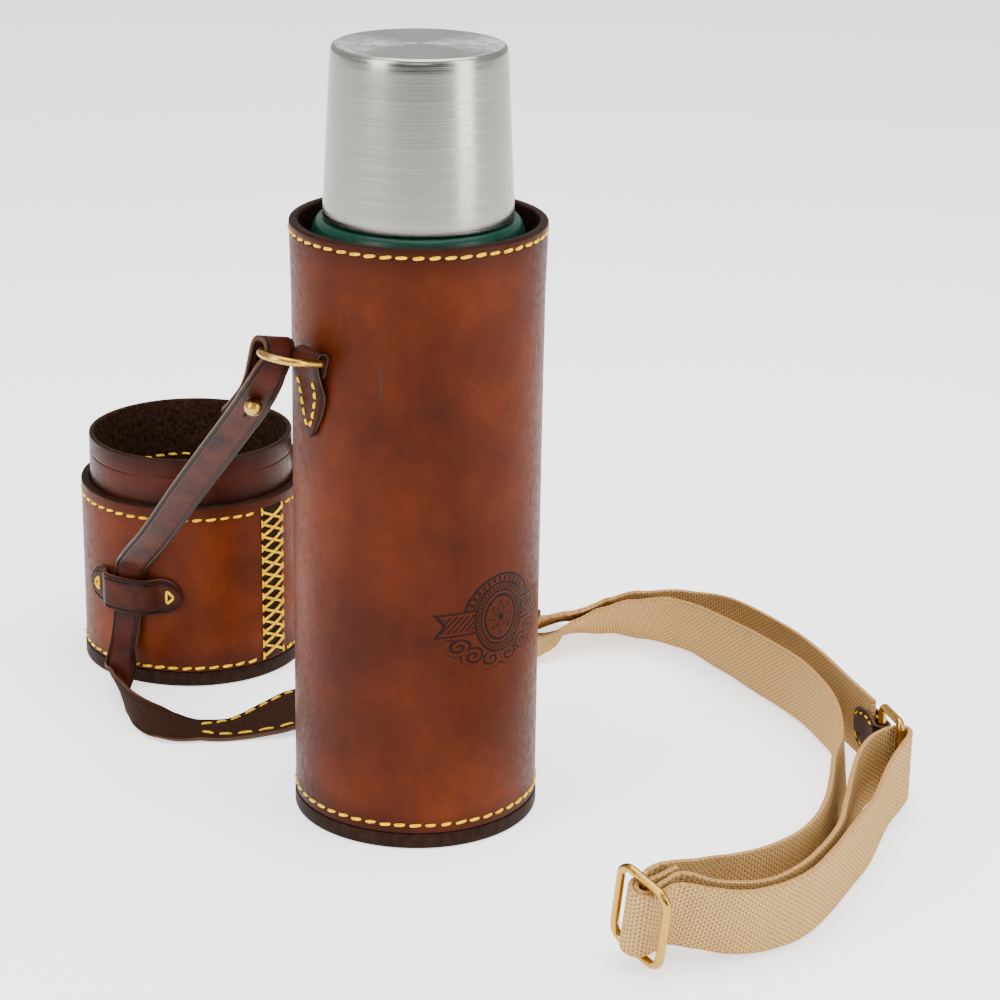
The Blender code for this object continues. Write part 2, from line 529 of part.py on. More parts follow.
FRONT_RUN = (
    (112.5, -152.0, 20.6, 0.04, -0.25, 0.97, 32), (126.0, -151.0, 18.4, 0.04, -0.22, 0.97, 32),
    (140.0, -145.0, 17.3, 0.05, -0.18, 0.98, 32), (154.5, -133.5, 17.1, 0.05, -0.13, 0.99, 32),
    (167.0, -114.5, 17.1, 0.05, -0.08, 0.99, 32), (179.4, -90.5, 17.1, 0.04, -0.05, 1.0, 32),
    (190.5, -68.5, 17.2, 0.04, -0.02, 1.0, 32), (202.0, -38.0, 18.4, 0.03, -0.01, 1.0, 32),
    (210.5, -22.0, 20.0, 0.0, 0.0, 1.0, 32), (215.3, -11.5, 20.6, 0.0, 0.0, 1.0, 32),
    (214.6, -6.2, 20.6, 0.0, 0.0, 1.0, 32), (211.0, -5.0, 20.6, 0.0, 0.0, 1.0, 32),
    (204.5, -8.2, 20.6, 0.0, 0.0, 1.0, 32), (197.0, -16.0, 20.0, 0.0, 0.0, 1.0, 32),
    (190.4, -29.0, 18.8, 0.0, 0.0, 1.0, 32), (184.8, -47.0, 17.4, 0.0, 0.0, 1.0, 32),
    (178.8, -70.0, 17.2, 0.02, -0.02, 1.0, 32), (172.6, -92.0, 17.1, 0.04, -0.05, 1.0, 32),
    (162.0, -113.0, 17.1, 0.05, -0.08, 0.99, 32), (150.5, -129.2, 17.1, 0.05, -0.12, 0.99, 32),
    (137.5, -140.0, 17.3, 0.05, -0.16, 0.98, 32), (124.5, -144.2, 18.6, 0.04, -0.20, 0.97, 32),
    (113.0, -145.8, 21.0, 0.04, -0.24, 0.97, 32))

SHORT_WEBBING = (
    (34.0, 197.5, 2.6, -0.20, -0.97, 0.04, 32), (48.0, 193.6, 3.4, -0.12, -0.97, 0.12, 32),
    (63.0, 190.0, 4.6, 0.0, -0.97, 0.20, 32), (78.0, 175.8, 13.6, 0.0, -0.86, 0.51, 32),
    (95.5, 178.4, 15.6, -0.10, -0.70, 0.71, 32), (113.2, 176.0, 16.4, -0.17, -0.45, 0.88, 32),
    (135.5, 167.8, 17.0, -0.10, -0.20, 0.97, 32), (156.5, 152.6, 17.2, 0.0, -0.05, 1.0, 32),
    (178.5, 116.0, 17.2, 0.0, 0.0, 1.0, 32), (189.5, 88.0, 17.2, 0.0, 0.0, 1.0, 32),
    (198.3, 56.0, 17.4, 0.0, 0.0, 1.0, 32), (203.0, 33.0, 19.4, 0.0, 0.0, 1.0, 32),
    (204.9, 21.5, 20.6, 0.0, 0.0, 1.0, 32))

CHAPE = (
    (199.6, 38.0, 19.2, 0.0, 0.0, 1.0, 8), (200.3, 34.0, 19.6, 0.0, 0.0, 1.0, 17),
    (202.3, 22.0, 20.6, 0.0, 0.0, 1.0, 21), (203.2, 14.0, 20.6, 0.0, 0.0, 1.0, 20), (203.5, 9.6, 20.6, 0.0, 0.0, 1.0, 20),
    (204.9, 7.7, 20.6, 0.0, 0.0, 1.0, 20), (207.4, 7.2, 20.6, 0.0, 0.0, 1.0, 20),
    (209.3, 8.7, 20.6, 0.0, 0.0, 1.0, 20), (209.8, 11.2, 20.6, 0.0, 0.0, 1.0, 20),
    (209.0, 15.0, 20.6, 0.0, 0.0, 1.0, 20), (207.5, 22.5, 20.6, 0.0, 0.0, 1.0, 21), (205.6, 34.5, 19.6, 0.0, 0.0, 1.0, 17),
    (204.8, 38.5, 19.2, 0.0, 0.0, 1.0, 8))

SLIDE_CENTRE = Vector((87.2, -155.1, 23.1)) * MM
SLIDE_UP = Vector((0.06, -0.26, 0.964)).normalized()
SLIDE_ACROSS = Vector((0.62, -0.76, -0.20))
SLIDE_ACROSS = (SLIDE_ACROSS - SLIDE_UP * SLIDE_ACROSS.dot(SLIDE_UP)).normalized()
SLIDE_THROUGH = SLIDE_UP.cross(SLIDE_ACROSS)

LOOP_NEAR = Vector((211.5, -9.5, 0)) * MM
LOOP_FAR = Vector((206.6, 10.4, 0)) * MM


def slide_station(through, across):
    """A webbing station at a place in the slide's own plane, in millimetres."""
    point = SLIDE_CENTRE + (SLIDE_THROUGH * through + SLIDE_ACROSS * across) * MM
    return (point, SLIDE_UP, WEBBING_WIDTH)


def arc_stations(radius, start, end, steps):
    """Stations round the slide's middle bar, from one angle to another in degrees."""
    made = []
    for step in range(steps + 1):
        angle = math.radians(start + (end - start) * step / steps)
        made.append(slide_station(radius * math.cos(angle), radius * math.sin(angle)))
    return made


def long_webbing_stations():
    """Far run, turn round the middle bar, front run, loop ring, return and sewn end."""
    stations = millimetres(LONG_WEBBING)
    stations += [slide_station(11.0, -6.6), slide_station(4.0, -5.7)]
    stations += arc_stations(5.6, 270, 90, 6)
    stations += [slide_station(5.0, 5.8), slide_station(12.0, 6.6)]
    stations += millimetres(FRONT_RUN)
    stations += [slide_station(17.0, 2.3), slide_station(10.0, 1.9), slide_station(4.5, 2.3)]
    stations += arc_stations(3.25, 90, 270, 6)
    stations += [slide_station(4.5, -2.2), slide_station(10.0, -1.6), slide_station(18.0, -1.4)]
    return stations


def build_slide(brass, pivot):
    centre = SLIDE_CENTRE - pivot.location
    path = rounded_outline(centre, SLIDE_ACROSS, SLIDE_UP, SLIDE_HALF_LENGTH,
                           SLIDE_HALF_HEIGHT, 6.5 * MM)
    frame = wire_loop("strap_slide", path, SLIDE_THROUGH, SLIDE_WIRE, brass, pivot)
    reach = SLIDE_UP * (SLIDE_HALF_HEIGHT + 0.2 * MM)
    bar = rod("slide_bar_tool", SLIDE_CENTRE - reach, SLIDE_CENTRE + reach, SLIDE_WIRE * 0.9, brass, 9)
    combine(frame, bar, "UNION")


def build_loop_ring(brass, pivot):
    along = (LOOP_FAR - LOOP_NEAR).normalized()
    half_length = (LOOP_FAR - LOOP_NEAR).length / 2
    middle = (LOOP_FAR + LOOP_NEAR) / 2 + Vector((0, 0, (LOOP_LOW_Z + LOOP_HIGH_Z) / 2))
    half_height = (LOOP_HIGH_Z - LOOP_LOW_Z) / 2
    path = rounded_outline(middle - pivot.location, along, Vector((0, 0, 1)), half_length,
                           half_height, 3 * MM)
    normal = along.cross(Vector((0, 0, 1)))
    wire_loop("loop_ring", path, normal, SLIDE_WIRE, brass, pivot)


def build_straps(dark, canvas, brass, root):
    front_bar = Vector((-44.8, -36.3, 212.0)) * MM
    back_bar = Vector((40.8, 40.8, 212.0)) * MM
    front_pivot = empty("ring_front_axis", front_bar)
    back_pivot = empty("ring_back_axis", back_bar)
    dee_ring("ring_front", front_bar, (-0.76, -0.616, 0.208), (0.63, -0.777, 0.0), brass,
             front_pivot)
    dee_ring("ring_back", back_bar, (0.354, 0.354, -0.866), (-0.707, 0.707, 0.0), brass,
             back_pivot)
    build_tab("ring_tab_front", -53.5, -47.5, front_bar, dark, root)
    build_tab("ring_tab_back", 131.0, 134.5, back_bar, dark, root)
    for name, route, place, normal in (
            ("front", FRONT_BILLET, (-66.0, -26.5, 192.0), (-0.192, -0.736, -0.635)),
            ("back", BACK_BILLET, (34.9, 69.7, 187.1), (0.612, 0.612, 0.50))):
        billet = ribbon("billet_" + name, millimetres(route), LEATHER, dark, 3, root)
        normal = Vector(normal).normalized()
        middle = Vector(place) * MM
        tool = rod("stud_hole_tool_" + name, middle - normal * 8 * MM, middle + normal * 4 * MM,
                   2.4 * MM, dark, 12)
        combine(billet, tool, "DIFFERENCE")
        stud("stud_" + name, middle - normal * 7.2 * MM, normal, brass, root)
    ribbon("webbing_long", long_webbing_stations(), WEBBING, canvas, 2, root)
    ribbon("webbing_short", millimetres(SHORT_WEBBING), WEBBING, canvas, 3, root)
    ribbon("webbing_chape", millimetres(CHAPE), 1.8 * MM, dark, 2, root)
    build_slide(brass, empty("slide_axis", SLIDE_CENTRE))
    build_loop_ring(brass, empty("loop_ring_axis", LOOP_FAR))


def main():
    clear_scene()
    tan_leather = material("case_leather", (0.30, 0.11, 0.045), 0.45)
    dark_leather = material("dark_leather", (0.09, 0.04, 0.028), 0.5)
    thread = material("waxed_thread", (0.85, 0.52, 0.03), 0.6)
    lining = material("suede_lining", (0.05, 0.035, 0.03), 0.9)
    steel = material("brushed_steel", (0.62, 0.61, 0.59), 0.3, 1.0)
    green = material("green_enamel", (0.02, 0.13, 0.09), 0.35)
    rubber = material("dark_plastic", (0.02, 0.025, 0.022), 0.5)
    seal = material("seal_rubber", (0.05, 0.035, 0.03), 0.8)
    brass = material("satin_brass", (0.72, 0.53, 0.25), 0.3, 1.0)
    canvas = material("cotton_canvas", (0.62, 0.47, 0.29), 0.9)
    root = empty("case_root", (0, 0, 0))
    build_case(tan_leather, dark_leather, thread, lining, root)
    build_lid(tan_leather, dark_leather, thread, lining, empty("lid_axis", LID_CENTRE))
    build_flask(steel, green, rubber, empty("flask_axis", (0, 0, 0)))
    build_stopper(rubber, seal, empty("stopper_axis", (0, 0, 0)))
    build_cup(steel, rubber, empty("cup_axis", (0, 0, 0)))
    build_straps(dark_leather, canvas, brass, root)
    bpy.context.view_layer.update()


main()
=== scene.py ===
import math
import random

import bpy
import numpy as np
from mathutils import Matrix, Vector


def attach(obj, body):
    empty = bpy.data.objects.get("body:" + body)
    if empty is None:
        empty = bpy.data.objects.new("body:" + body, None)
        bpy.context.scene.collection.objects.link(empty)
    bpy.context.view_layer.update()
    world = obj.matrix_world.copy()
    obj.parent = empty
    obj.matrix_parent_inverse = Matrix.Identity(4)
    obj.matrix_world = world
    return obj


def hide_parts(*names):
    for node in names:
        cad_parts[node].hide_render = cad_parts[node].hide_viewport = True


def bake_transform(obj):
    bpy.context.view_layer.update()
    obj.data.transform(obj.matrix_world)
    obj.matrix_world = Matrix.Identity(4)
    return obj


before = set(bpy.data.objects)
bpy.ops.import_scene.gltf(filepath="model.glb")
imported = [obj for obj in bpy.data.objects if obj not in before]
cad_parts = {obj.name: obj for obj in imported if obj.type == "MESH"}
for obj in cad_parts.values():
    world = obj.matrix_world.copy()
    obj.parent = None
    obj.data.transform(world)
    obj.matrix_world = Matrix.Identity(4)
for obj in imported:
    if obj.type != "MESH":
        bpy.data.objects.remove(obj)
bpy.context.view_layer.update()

# Sizes are in millimetres, azimuths in degrees from the front towards +X.
MM = 0.001
ROUND = 200
CASE_RADIUS = 52.5
CASE_BORE = 49.3
CASE_FOOT = 7.3
CASE_TOP = 261.5
CASE_RIM = 53.4
CASE_RIM_STITCH = 257.8
CASE_SOLE = 7.0
SEAM_AZIMUTH = 229
LID = np.array((-110.0, 172.2, 0.0))
LID_RADIUS = 53.5
LID_BORE = 49.4
LID_FOOT = 7.7
LID_TOP = 90.8
LID_RIM_STITCH = 84.8
LID_SOLE = 7.4
SLEEVE_RADIUS = 49.0
SLEEVE_BORE = 46.4
SLEEVE_TOP = 113.4
LACING_AZIMUTH = 49.5
CUT_EDGE = 0.6
KEEPER_HEIGHT = 46.8
KEEPER_WIDTH = 17.6
KEEPER_THICKNESS = 2.2
KEEPER_SKIN = 56.05
FLASK_BASE = 12.6
CUP_BASE = 262.6
CUP_TOP = 333.0
BILLET_WIDTH = 15
BILLET_THICKNESS = 2.6
WEBBING_WIDTH = 32
WEBBING_THICKNESS = 2.2
CHAPE_THICKNESS = 1.8
RING_HEIGHT = 212.0
RING_WIRE = 1.6
BUCKLE_WIRE = 1.8
RING_HALF_WIDTH = 11.5
TAB_RADIUS = 55.0
STUD_FOOT = 7.2
STUD_BALL = 3.75
rng = random.Random(7)


# ---------------------------------------------------------------- materials
class Shader:
    """A small helper round one procedural material; its methods add nodes and give their sockets."""

    def __init__(self, name):
        self.mat = bpy.data.materials.new(name)
        self.mat.use_nodes = True
        self.tree = self.mat.node_tree
        self.bsdf = self.tree.nodes["Principled BSDF"]
        self.coord = self.tree.nodes.new("ShaderNodeTexCoord")

    def node(self, kind, **values):
        made = self.tree.nodes.new("ShaderNode" + kind)
        for key, value in values.items():
            setattr(made, key, value)
        return made

    def put(self, socket, value):
        if isinstance(value, bpy.types.NodeSocket):
            self.tree.links.new(value, socket)
        else:
            socket.default_value = value

    def math(self, operation, a, b=0.0, c=0.0):
        made = self.node("Math", operation=operation)
        for socket, value in zip(made.inputs, (a, b, c)):
            self.put(socket, value)
        return made.outputs[0]

    def plus(self, a, b):
        return self.math("ADD", a, b)

    def minus(self, a, b):
        return self.math("SUBTRACT", a, b)

    def times(self, a, b):
        return self.math("MULTIPLY", a, b)

    def scaled(self, value, factor, shift):
        return self.math("MULTIPLY_ADD", value, factor, shift)

    def sine(self, value):
        return self.math("SINE", value)

    def size(self, value):
        return self.math("ABSOLUTE", value)

    def length(self, a, b):
        return self.math("SQRT", self.plus(self.times(a, a), self.times(b, b)))

    def product(self, first, *others):
        for other in others:
            first = self.times(first, other)
        return first

    def noise(self, scale, detail=4.0, rough=0.55, vector=None, stretch=None):
        made = self.node("TexNoise")
        made.inputs["Scale"].default_value = scale
        made.inputs["Detail"].default_value = detail
        made.inputs["Roughness"].default_value = rough
        source = vector or self.coord.outputs["Object"]
        if stretch:
            mapping = self.node("Mapping")
            mapping.inputs["Scale"].default_value = stretch
            self.put(mapping.inputs["Vector"], source)
            source = mapping.outputs[0]
        self.put(made.inputs["Vector"], source)
        return made.outputs["Fac"]

    def ramp(self, fac, stops):
        made = self.node("ValToRGB")
        while len(made.color_ramp.elements) < len(stops):
            made.color_ramp.elements.new(0.5)
        for element, (place, colour) in zip(made.color_ramp.elements, stops):
            element.position = place
            element.color = (*colour, 1)
        self.put(made.inputs[0], fac)
        return made.outputs[0]

    def remap(self, value, low, high, to_low=0.0, to_high=1.0):
        made = self.node("MapRange")
        made.interpolation_type = "SMOOTHSTEP"
        for key, item in (("Value", value), ("From Min", low), ("From Max", high),
                          ("To Min", to_low), ("To Max", to_high)):
            self.put(made.inputs[key], item)
        return made.outputs[0]

    def below(self, value, low, high):
        """1 up to low, 0 from high on."""
        return self.remap(value, low, high, 1, 0)

    def mix(self, fac, a, b):
        made = self.node("Mix", data_type="RGBA")
        self.put(made.inputs[0], fac)
        for socket, colour in zip((made.inputs[6], made.inputs[7]), (a, b)):
            self.put(socket, (*colour, 1) if isinstance(colour, tuple) else colour)
        return made.outputs[2]

    def uv(self, layer="uv"):
        made = self.node("UVMap", uv_map=layer)
        split = self.node("SeparateXYZ")
        self.put(split.inputs[0], made.outputs[0])
        return split.outputs[0], split.outputs[1], made.outputs[0]

    def bump(self, height, distance, strength=1.0, after=None):
        made = self.node("Bump")
        made.inputs["Distance"].default_value = distance
        made.inputs["Strength"].default_value = strength
        self.put(made.inputs["Height"], height)
        if after:
            self.put(made.inputs["Normal"], after)
        return made.outputs[0]

    def finish(self, colour, rough, normal, metallic=0.0, **extra):
        self.put(self.bsdf.inputs["Base Color"], colour)
        self.put(self.bsdf.inputs["Roughness"], rough)
        self.put(self.bsdf.inputs["Metallic"], metallic)
        self.put(self.bsdf.inputs["Normal"], normal)
        for key, value in extra.items():
            self.bsdf.inputs[key.replace("_", " ")].default_value = value
        return self.mat


def hide_leather(name, base, dark, light, rough, edges, marks=None):
    """Waxed hide: mottled dye, pores, creases, and bands of painted shade at given heights, near the
    floor and at the rims.
    """
    s = Shader(name)
    broad = s.noise(14, 5, 0.6)
    streak = s.noise(26, 4, 0.6, stretch=(1.0, 1.0, 0.28))
    fine = s.noise(330, 3, 0.6)
    colour = s.ramp(broad, [(0.28, dark), (0.52, base), (0.78, light)])
    colour = s.mix(s.remap(streak, 0.45, 0.75, 0, 0.45), colour, dark)
    colour = s.mix(s.remap(fine, 0.35, 0.75, 0.18, 0.0), colour, dark)
    split = s.node("SeparateXYZ")
    s.put(split.inputs[0], s.coord.outputs["Object"])
    level = s.plus(split.outputs[2], s.scaled(broad, 0.016, -0.008))
    # Painted shade: each band darkens the leather towards its height.
    for place, reach in edges:
        near = s.remap(s.size(s.minus(level, place)), 0.0, reach, 0.62, 0.0)
        colour = s.mix(near, colour, tuple(c * 0.35 for c in dark))
    pores = s.node("TexVoronoi")
    pores.inputs["Scale"].default_value = 900
    s.put(pores.inputs["Vector"], s.coord.outputs["Object"])
    normal = s.bump(pores.outputs["Distance"], 0.00012, 0.35)
    normal = s.bump(s.noise(120, 6, 0.65), 0.0004, 0.35, normal)
    normal = s.bump(s.noise(22, 3, 0.5), 0.0012, 0.35, normal)
    if marks:
        colour, normal = marks(s, colour, normal)
    return s.finish(colour, s.remap(fine, 0.3, 0.8, rough - 0.06, rough + 0.14), normal,
                    Specular_IOR_Level=0.08)


def strap_leather(name, centre, dark, edge, flesh):
    """Bridle leather ribbon: grain on one side, flesh on the other, cut edges between."""
    s = Shader(name)
    _, _, vector = s.uv()
    side, share, _ = s.uv("side")
    mottled = s.noise(60, 5, 0.6, vector)
    fine = s.noise(700, 3, 0.6, vector)
    grain = s.ramp(mottled, [(0.3, dark), (0.55, centre), (0.8, tuple(c * 1.35 for c in centre))])
    grain = s.mix(s.remap(share, 0.45, 0.92, 0.0, 0.85), grain, dark)
    rough_side = s.ramp(fine, [(0.25, tuple(c * 0.5 for c in flesh)), (0.7, flesh)])
    colour = s.mix(s.remap(side, 0.35, 0.65), rough_side, grain)
    colour = s.mix(s.remap(share, 0.955, 0.985), colour, edge)
    normal = s.bump(fine, 0.00025, 0.5)
    normal = s.bump(s.noise(150, 4, 0.6, vector), 0.0005, 0.3, normal)
    return s.finish(colour, s.remap(side, 0.35, 0.65, 0.85, 0.40), normal, Specular_IOR_Level=0.08)


RIB_PITCH = 0.0015
WARP_PITCH = 0.0011


def canvas_cloth(name):
    """Ribbed cotton webbing: cross ribs, twisted warp and slightly darker selvedges."""
    s = Shader(name)
    across, along, vector = s.uv()
    _, share, _ = s.uv("side")
    rib = s.sine(s.times(along, 2 * math.pi / RIB_PITCH))
    phase = s.times(s.math("ROUND", s.math("DIVIDE", across, WARP_PITCH)), math.pi)
    weft = s.sine(s.plus(s.times(along, math.pi / RIB_PITCH), phase))
    warp = s.sine(s.times(across, 2 * math.pi / WARP_PITCH))
    fibre = s.noise(1800, 3, 0.7, vector, (1.0, 0.25, 1.0))
    blotch = s.noise(45, 4, 0.6, vector)
    height = s.plus(s.plus(s.times(rib, 0.45), s.times(weft, 0.5)), s.times(warp, 0.35))
    height = s.scaled(fibre, 0.8, height)
    colour = s.ramp(s.remap(height, -1.2, 1.6),
                    [(0.0, (0.13, 0.058, 0.017)), (0.45, (0.42, 0.245, 0.088)),
                     (1.0, (0.68, 0.460, 0.195))])
    colour = s.mix(s.remap(blotch, 0.35, 0.75, 0.0, 0.22), colour, (0.40, 0.22, 0.08))
    colour = s.mix(s.remap(share, 0.93, 0.99, 0.0, 0.55), colour, (0.42, 0.19, 0.06))
    normal = s.bump(height, 0.00036, 0.9)
    return s.finish(colour, 0.92, normal, Specular_IOR_Level=0.05)


def thread_material():
    """Yellow waxed thread with a fine twist."""
    s = Shader("waxed_thread_look")
    twist = s.noise(900, 2, 0.5, stretch=(1, 1, 0.6))
    colour = s.ramp(twist, [(0.25, (0.55, 0.26, 0.0)), (0.55, (0.92, 0.53, 0.0)),
                            (0.8, (1.0, 0.70, 0.01))])
    return s.finish(colour, 0.6, s.bump(twist, 0.0002, 0.6), Specular_IOR_Level=0.10)


def brushed(name, colour, rough, direction, aniso=0.0):
    """Brushed metal, its lines stretched along a direction and its highlight round the Z axis."""
    s = Shader(name)
    lines = s.noise(400, 4, 0.6, stretch=direction)
    shade = s.ramp(lines, [(0.25, tuple(c * 0.80 for c in colour)), (0.75, colour)])
    worn = s.scaled(s.noise(30, 3, 0.5), 0.10, s.remap(lines, 0.3, 0.7, rough - 0.06, rough + 0.09))
    if aniso:
        tangent = s.node("Tangent", direction_type="RADIAL", axis="Z")
        s.put(s.bsdf.inputs["Tangent"], tangent.outputs[0])
    return s.finish(shade, worn, s.bump(lines, 0.00004, 0.5), 1.0, Anisotropic=aniso)


def plain(name, dark, light, rough, scale, depth, specular=0.15):
    """A grained surface between two shades."""
    s = Shader(name)
    grain = s.noise(scale, 5, 0.6)
    colour = s.ramp(grain, [(0.3, dark), (0.7, light)])
    return s.finish(colour, s.remap(grain, 0.3, 0.7, rough - 0.05, rough + 0.05),
                    s.bump(grain, depth, 0.5), Specular_IOR_Level=specular)


def pressed_mark(s, across, up):
    """How deep the generic mark is pressed, 0 to 1, in millimetres round its own centre."""
    dx = s.times(s.minus(across, MARK_AT[0]), 1 / MM)
    dz = s.times(s.minus(up, MARK_AT[1]), 1 / MM)
    wobble = s.scaled(s.noise(240, 2, 0.5), 0.5, -0.25)

    def line(value, place, half):
        return s.below(s.size(s.minus(s.plus(value, wobble), place)), half * 0.5, half)

    angle = s.math("ARCTAN2", dz, dx)
    side = s.size(dx)
    oval = s.length(dx, s.times(dz, 0.87))
    circle = s.length(dx, dz)
    teeth = s.remap(s.sine(s.times(angle, 48)), -0.2, 0.3)
    petals = s.scaled(s.math("COSINE", s.times(angle, 8)), 1.6, 4.6)
    rosette = [line(oval, 13.2, 0.6), s.times(line(oval, 11.8, 1.1), teeth), line(oval, 10.3, 0.5),
               line(oval, 8.4, 0.8), line(oval, petals, 0.6), s.below(oval, 1.3, 1.7)]
    above = s.remap(dz, 5.0, 5.6)
    bands = s.remap(s.sine(s.times(angle, 36)), -0.1, 0.3)
    arch = [s.times(line(circle, 18.8, 0.8), above), s.times(line(circle, 15.2, 0.5), above),
            s.product(line(circle, 17.0, 1.4), bands, above)]
    rail = s.size(s.plus(dz, s.scaled(side, 0.03, -0.8)))
    tail = s.plus(side, s.times(s.minus(5.0, rail), 0.8))
    ribbon = s.product(s.below(rail, 5.2, 5.6), s.below(tail, 31.6, 32.2), s.remap(oval, 13.2, 13.8))
    hatch = s.remap(s.sine(s.times(s.plus(side, dz), 2.3)), 0.0, 0.5)
    ribbon_ends = [s.times(ribbon, line(rail, 5.0, 0.6)), s.times(ribbon, line(tail, 31.0, 0.9)),
                   s.product(ribbon, hatch, s.below(rail, 3.2, 3.6))]
    squeezed = s.times(dx, 0.72)
    turn = s.math("ARCTAN2", dz, squeezed)
    curl_x = s.minus(s.math("PINGPONG", s.times(turn, 18.6), 7.3), 3.65)
    curl_z = s.minus(s.length(squeezed, dz), 18.0)
    curl = s.length(curl_x, curl_z)
    spiral = s.sine(s.plus(s.times(curl, 2.6), s.math("ARCTAN2", curl_z, curl_x)))
    total = s.product(s.remap(spiral, 0.1, 0.6), s.below(curl, 4.2, 4.8), s.below(dz, -6.4, -5.8),
                      s.remap(oval, 13.8, 14.4))
    for piece in rosette + arch + ribbon_ends:
        total = s.math("MAXIMUM", total, piece)
    return total


def case_marks(s, colour, normal):
    """The pressed mark and old scratches of the case, over its colour and normal."""
    across, up, _ = s.uv()
    mark = pressed_mark(s, across, up)
    colour = s.mix(s.times(mark, 0.90), colour, (0.007, 0.0025, 0.0015))
    normal = s.bump(s.times(mark, -1.0), 0.0007, 0.8, normal)
    jag = s.scaled(s.noise(120, 3, 0.6), 0.004, -0.002)
    for x, z, wide, tall, deep in SCRATCHES:
        aside = s.size(s.plus(s.minus(across, x), jag))
        rise = s.size(s.minus(up, z))
        scar = s.times(s.below(aside, wide * 0.4, wide), s.below(rise, tall * 0.7, tall))
        colour = s.mix(s.times(scar, deep), colour, (0.045, 0.018, 0.012))
        normal = s.bump(s.times(scar, -1.0), 0.0006, 0.6, normal)
    return colour, normal


def arc_place(azimuth, z):
    """A place on the case's wall as arc length and height, in metres."""
    return (math.radians(azimuth) * CASE_RADIUS * MM, z * MM)


MARK_AT = arc_place(42.4, 101.3)
# Each scratch's place, its half width and half height in metres, and how dark it is.
SCRATCHES = [(*arc_place(-17.0, 205.0), 0.0012, 0.0075, 0.75),
             (*arc_place(-16.0, 217.0), 0.0006, 0.0070, 0.35),
             (*arc_place(22.0, 120.0), 0.0005, 0.0050, 0.30),
             (*arc_place(-30.0, 232.0), 0.0007, 0.0020, 0.35)]

CHESTNUT = (0.082, 0.0125, 0.0018)
UMBER = (0.030, 0.0048, 0.0012)
AMBER = (0.155, 0.0290, 0.0038)

# The (height, reach) pairs of the hide looks are bands of painted shade: at the foot on the floor, at the
# case's top where the flask comes out, where the sleeve comes out of the lid, and at the sleeve's open
# rim.
LOOKS = {
    "case": hide_leather("case_leather_look", CHESTNUT, UMBER, AMBER, 0.42,
                         ((0.008, 0.012), (0.262, 0.016)), case_marks),
    "lid": hide_leather("lid_leather_look", (0.120, 0.0200, 0.0034), (0.044, 0.0072, 0.0018),
                        (0.215, 0.0440, 0.0070), 0.42, ((0.006, 0.020), (0.091, 0.012))),
    "sleeve": hide_leather("sleeve_leather_look", (0.060, 0.012, 0.006), (0.022, 0.006, 0.004),
                           (0.105, 0.022, 0.009), 0.36, ((0.090, 0.010), (0.1135, 0.012))),
    "dark": plain("burnished_edge_look", (0.008, 0.004, 0.003), (0.026, 0.011, 0.006), 0.55, 260,
                  0.0004, 0.05),
    "suede": plain("suede_look", (0.006, 0.003, 0.002), (0.044, 0.020, 0.011), 0.95, 520, 0.0012, 0.03),
    "strap": strap_leather("billet_look", (0.046, 0.0085, 0.004), (0.010, 0.003, 0.0018),
                           (0.075, 0.036, 0.022), (0.030, 0.012, 0.006)),
    "canvas": canvas_cloth("canvas_look"),
    "thread": thread_material(),
    "brass": brushed("brass_look", (0.50, 0.285, 0.055), 0.20, (1, 1, 1)),
    "steel": brushed("steel_look", (0.36, 0.350, 0.310), 0.16, (0.03, 0.03, 6.0), 0.6),
    "steel_top": brushed("steel_top_look", (0.46, 0.45, 0.42), 0.26, (0.5, 0.5, 0.5), 0.75),
    "green": plain("green_look", (0.001, 0.026, 0.015), (0.002, 0.036, 0.022), 0.30, 300, 0.00005),
    "plastic": plain("plastic_look", (0.010, 0.013, 0.012), (0.020, 0.024, 0.022), 0.50, 400, 0.0001),
    "seal": plain("seal_look", (0.020, 0.014, 0.012), (0.040, 0.028, 0.024), 0.75, 300, 0.0002),
    # Painted shade: the near-black look laid over the stud slit stands in for the shade inside the cut.
    "slit": plain("slit_shade_look", (0.004, 0.003, 0.002), (0.008, 0.005, 0.004), 0.9, 300, 0.0002),
}


# ---------------------------------------------------------------- mesh tools
def make(name, verts, faces, look, body=None, node=None, uvs=None, sides=None, sharp=40,
         looks=None):
    """A mesh object from millimetres, with its look, its body and the node it stands for."""
    mesh = bpy.data.meshes.new(name)
    mesh.from_pydata([tuple(c * MM for c in v) for v in verts], [], [tuple(f) for f in faces])
    for key in looks or [look]:
        mesh.materials.append(LOOKS[key])
    for layer, values in (("uv", uvs), ("side", sides)):
        if values is None:
            continue
        data = mesh.uv_layers.new(name=layer)
        loops = np.empty(len(mesh.loops), dtype=np.int32)
        mesh.loops.foreach_get("vertex_index", loops)
        array = np.asarray(values, dtype=np.float32)
        if len(array) == len(verts):
            array = array[loops]
        data.data.foreach_set("uv", array.reshape(-1))
    mesh.shade_smooth()
    mesh.set_sharp_from_angle(angle=math.radians(sharp))
    mesh.update()
    made = bpy.data.objects.new(name, mesh)
    bpy.context.scene.collection.objects.link(made)
    if body:
        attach(made, body)
    if node:
        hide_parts(node)
    return made


def rings(count, size, flip=False, closed=False, caps=True):
    """The faces between rings of points that follow each other, with or without end caps."""
    faces = []
    for row in range(count if closed else count - 1):
        a, b = row * size, (row + 1) % count * size
        for k in range(size):
            n = (k + 1) % size
            faces.append((a + k, b + k, b + n, a + n) if flip else (a + k, a + n, b + n, b + k))
    if caps and not closed:
        first, last = tuple(range(size)), tuple(range((count - 1) * size, count * size))
        faces += [first, last[::-1]] if flip else [first[::-1], last]
    return faces


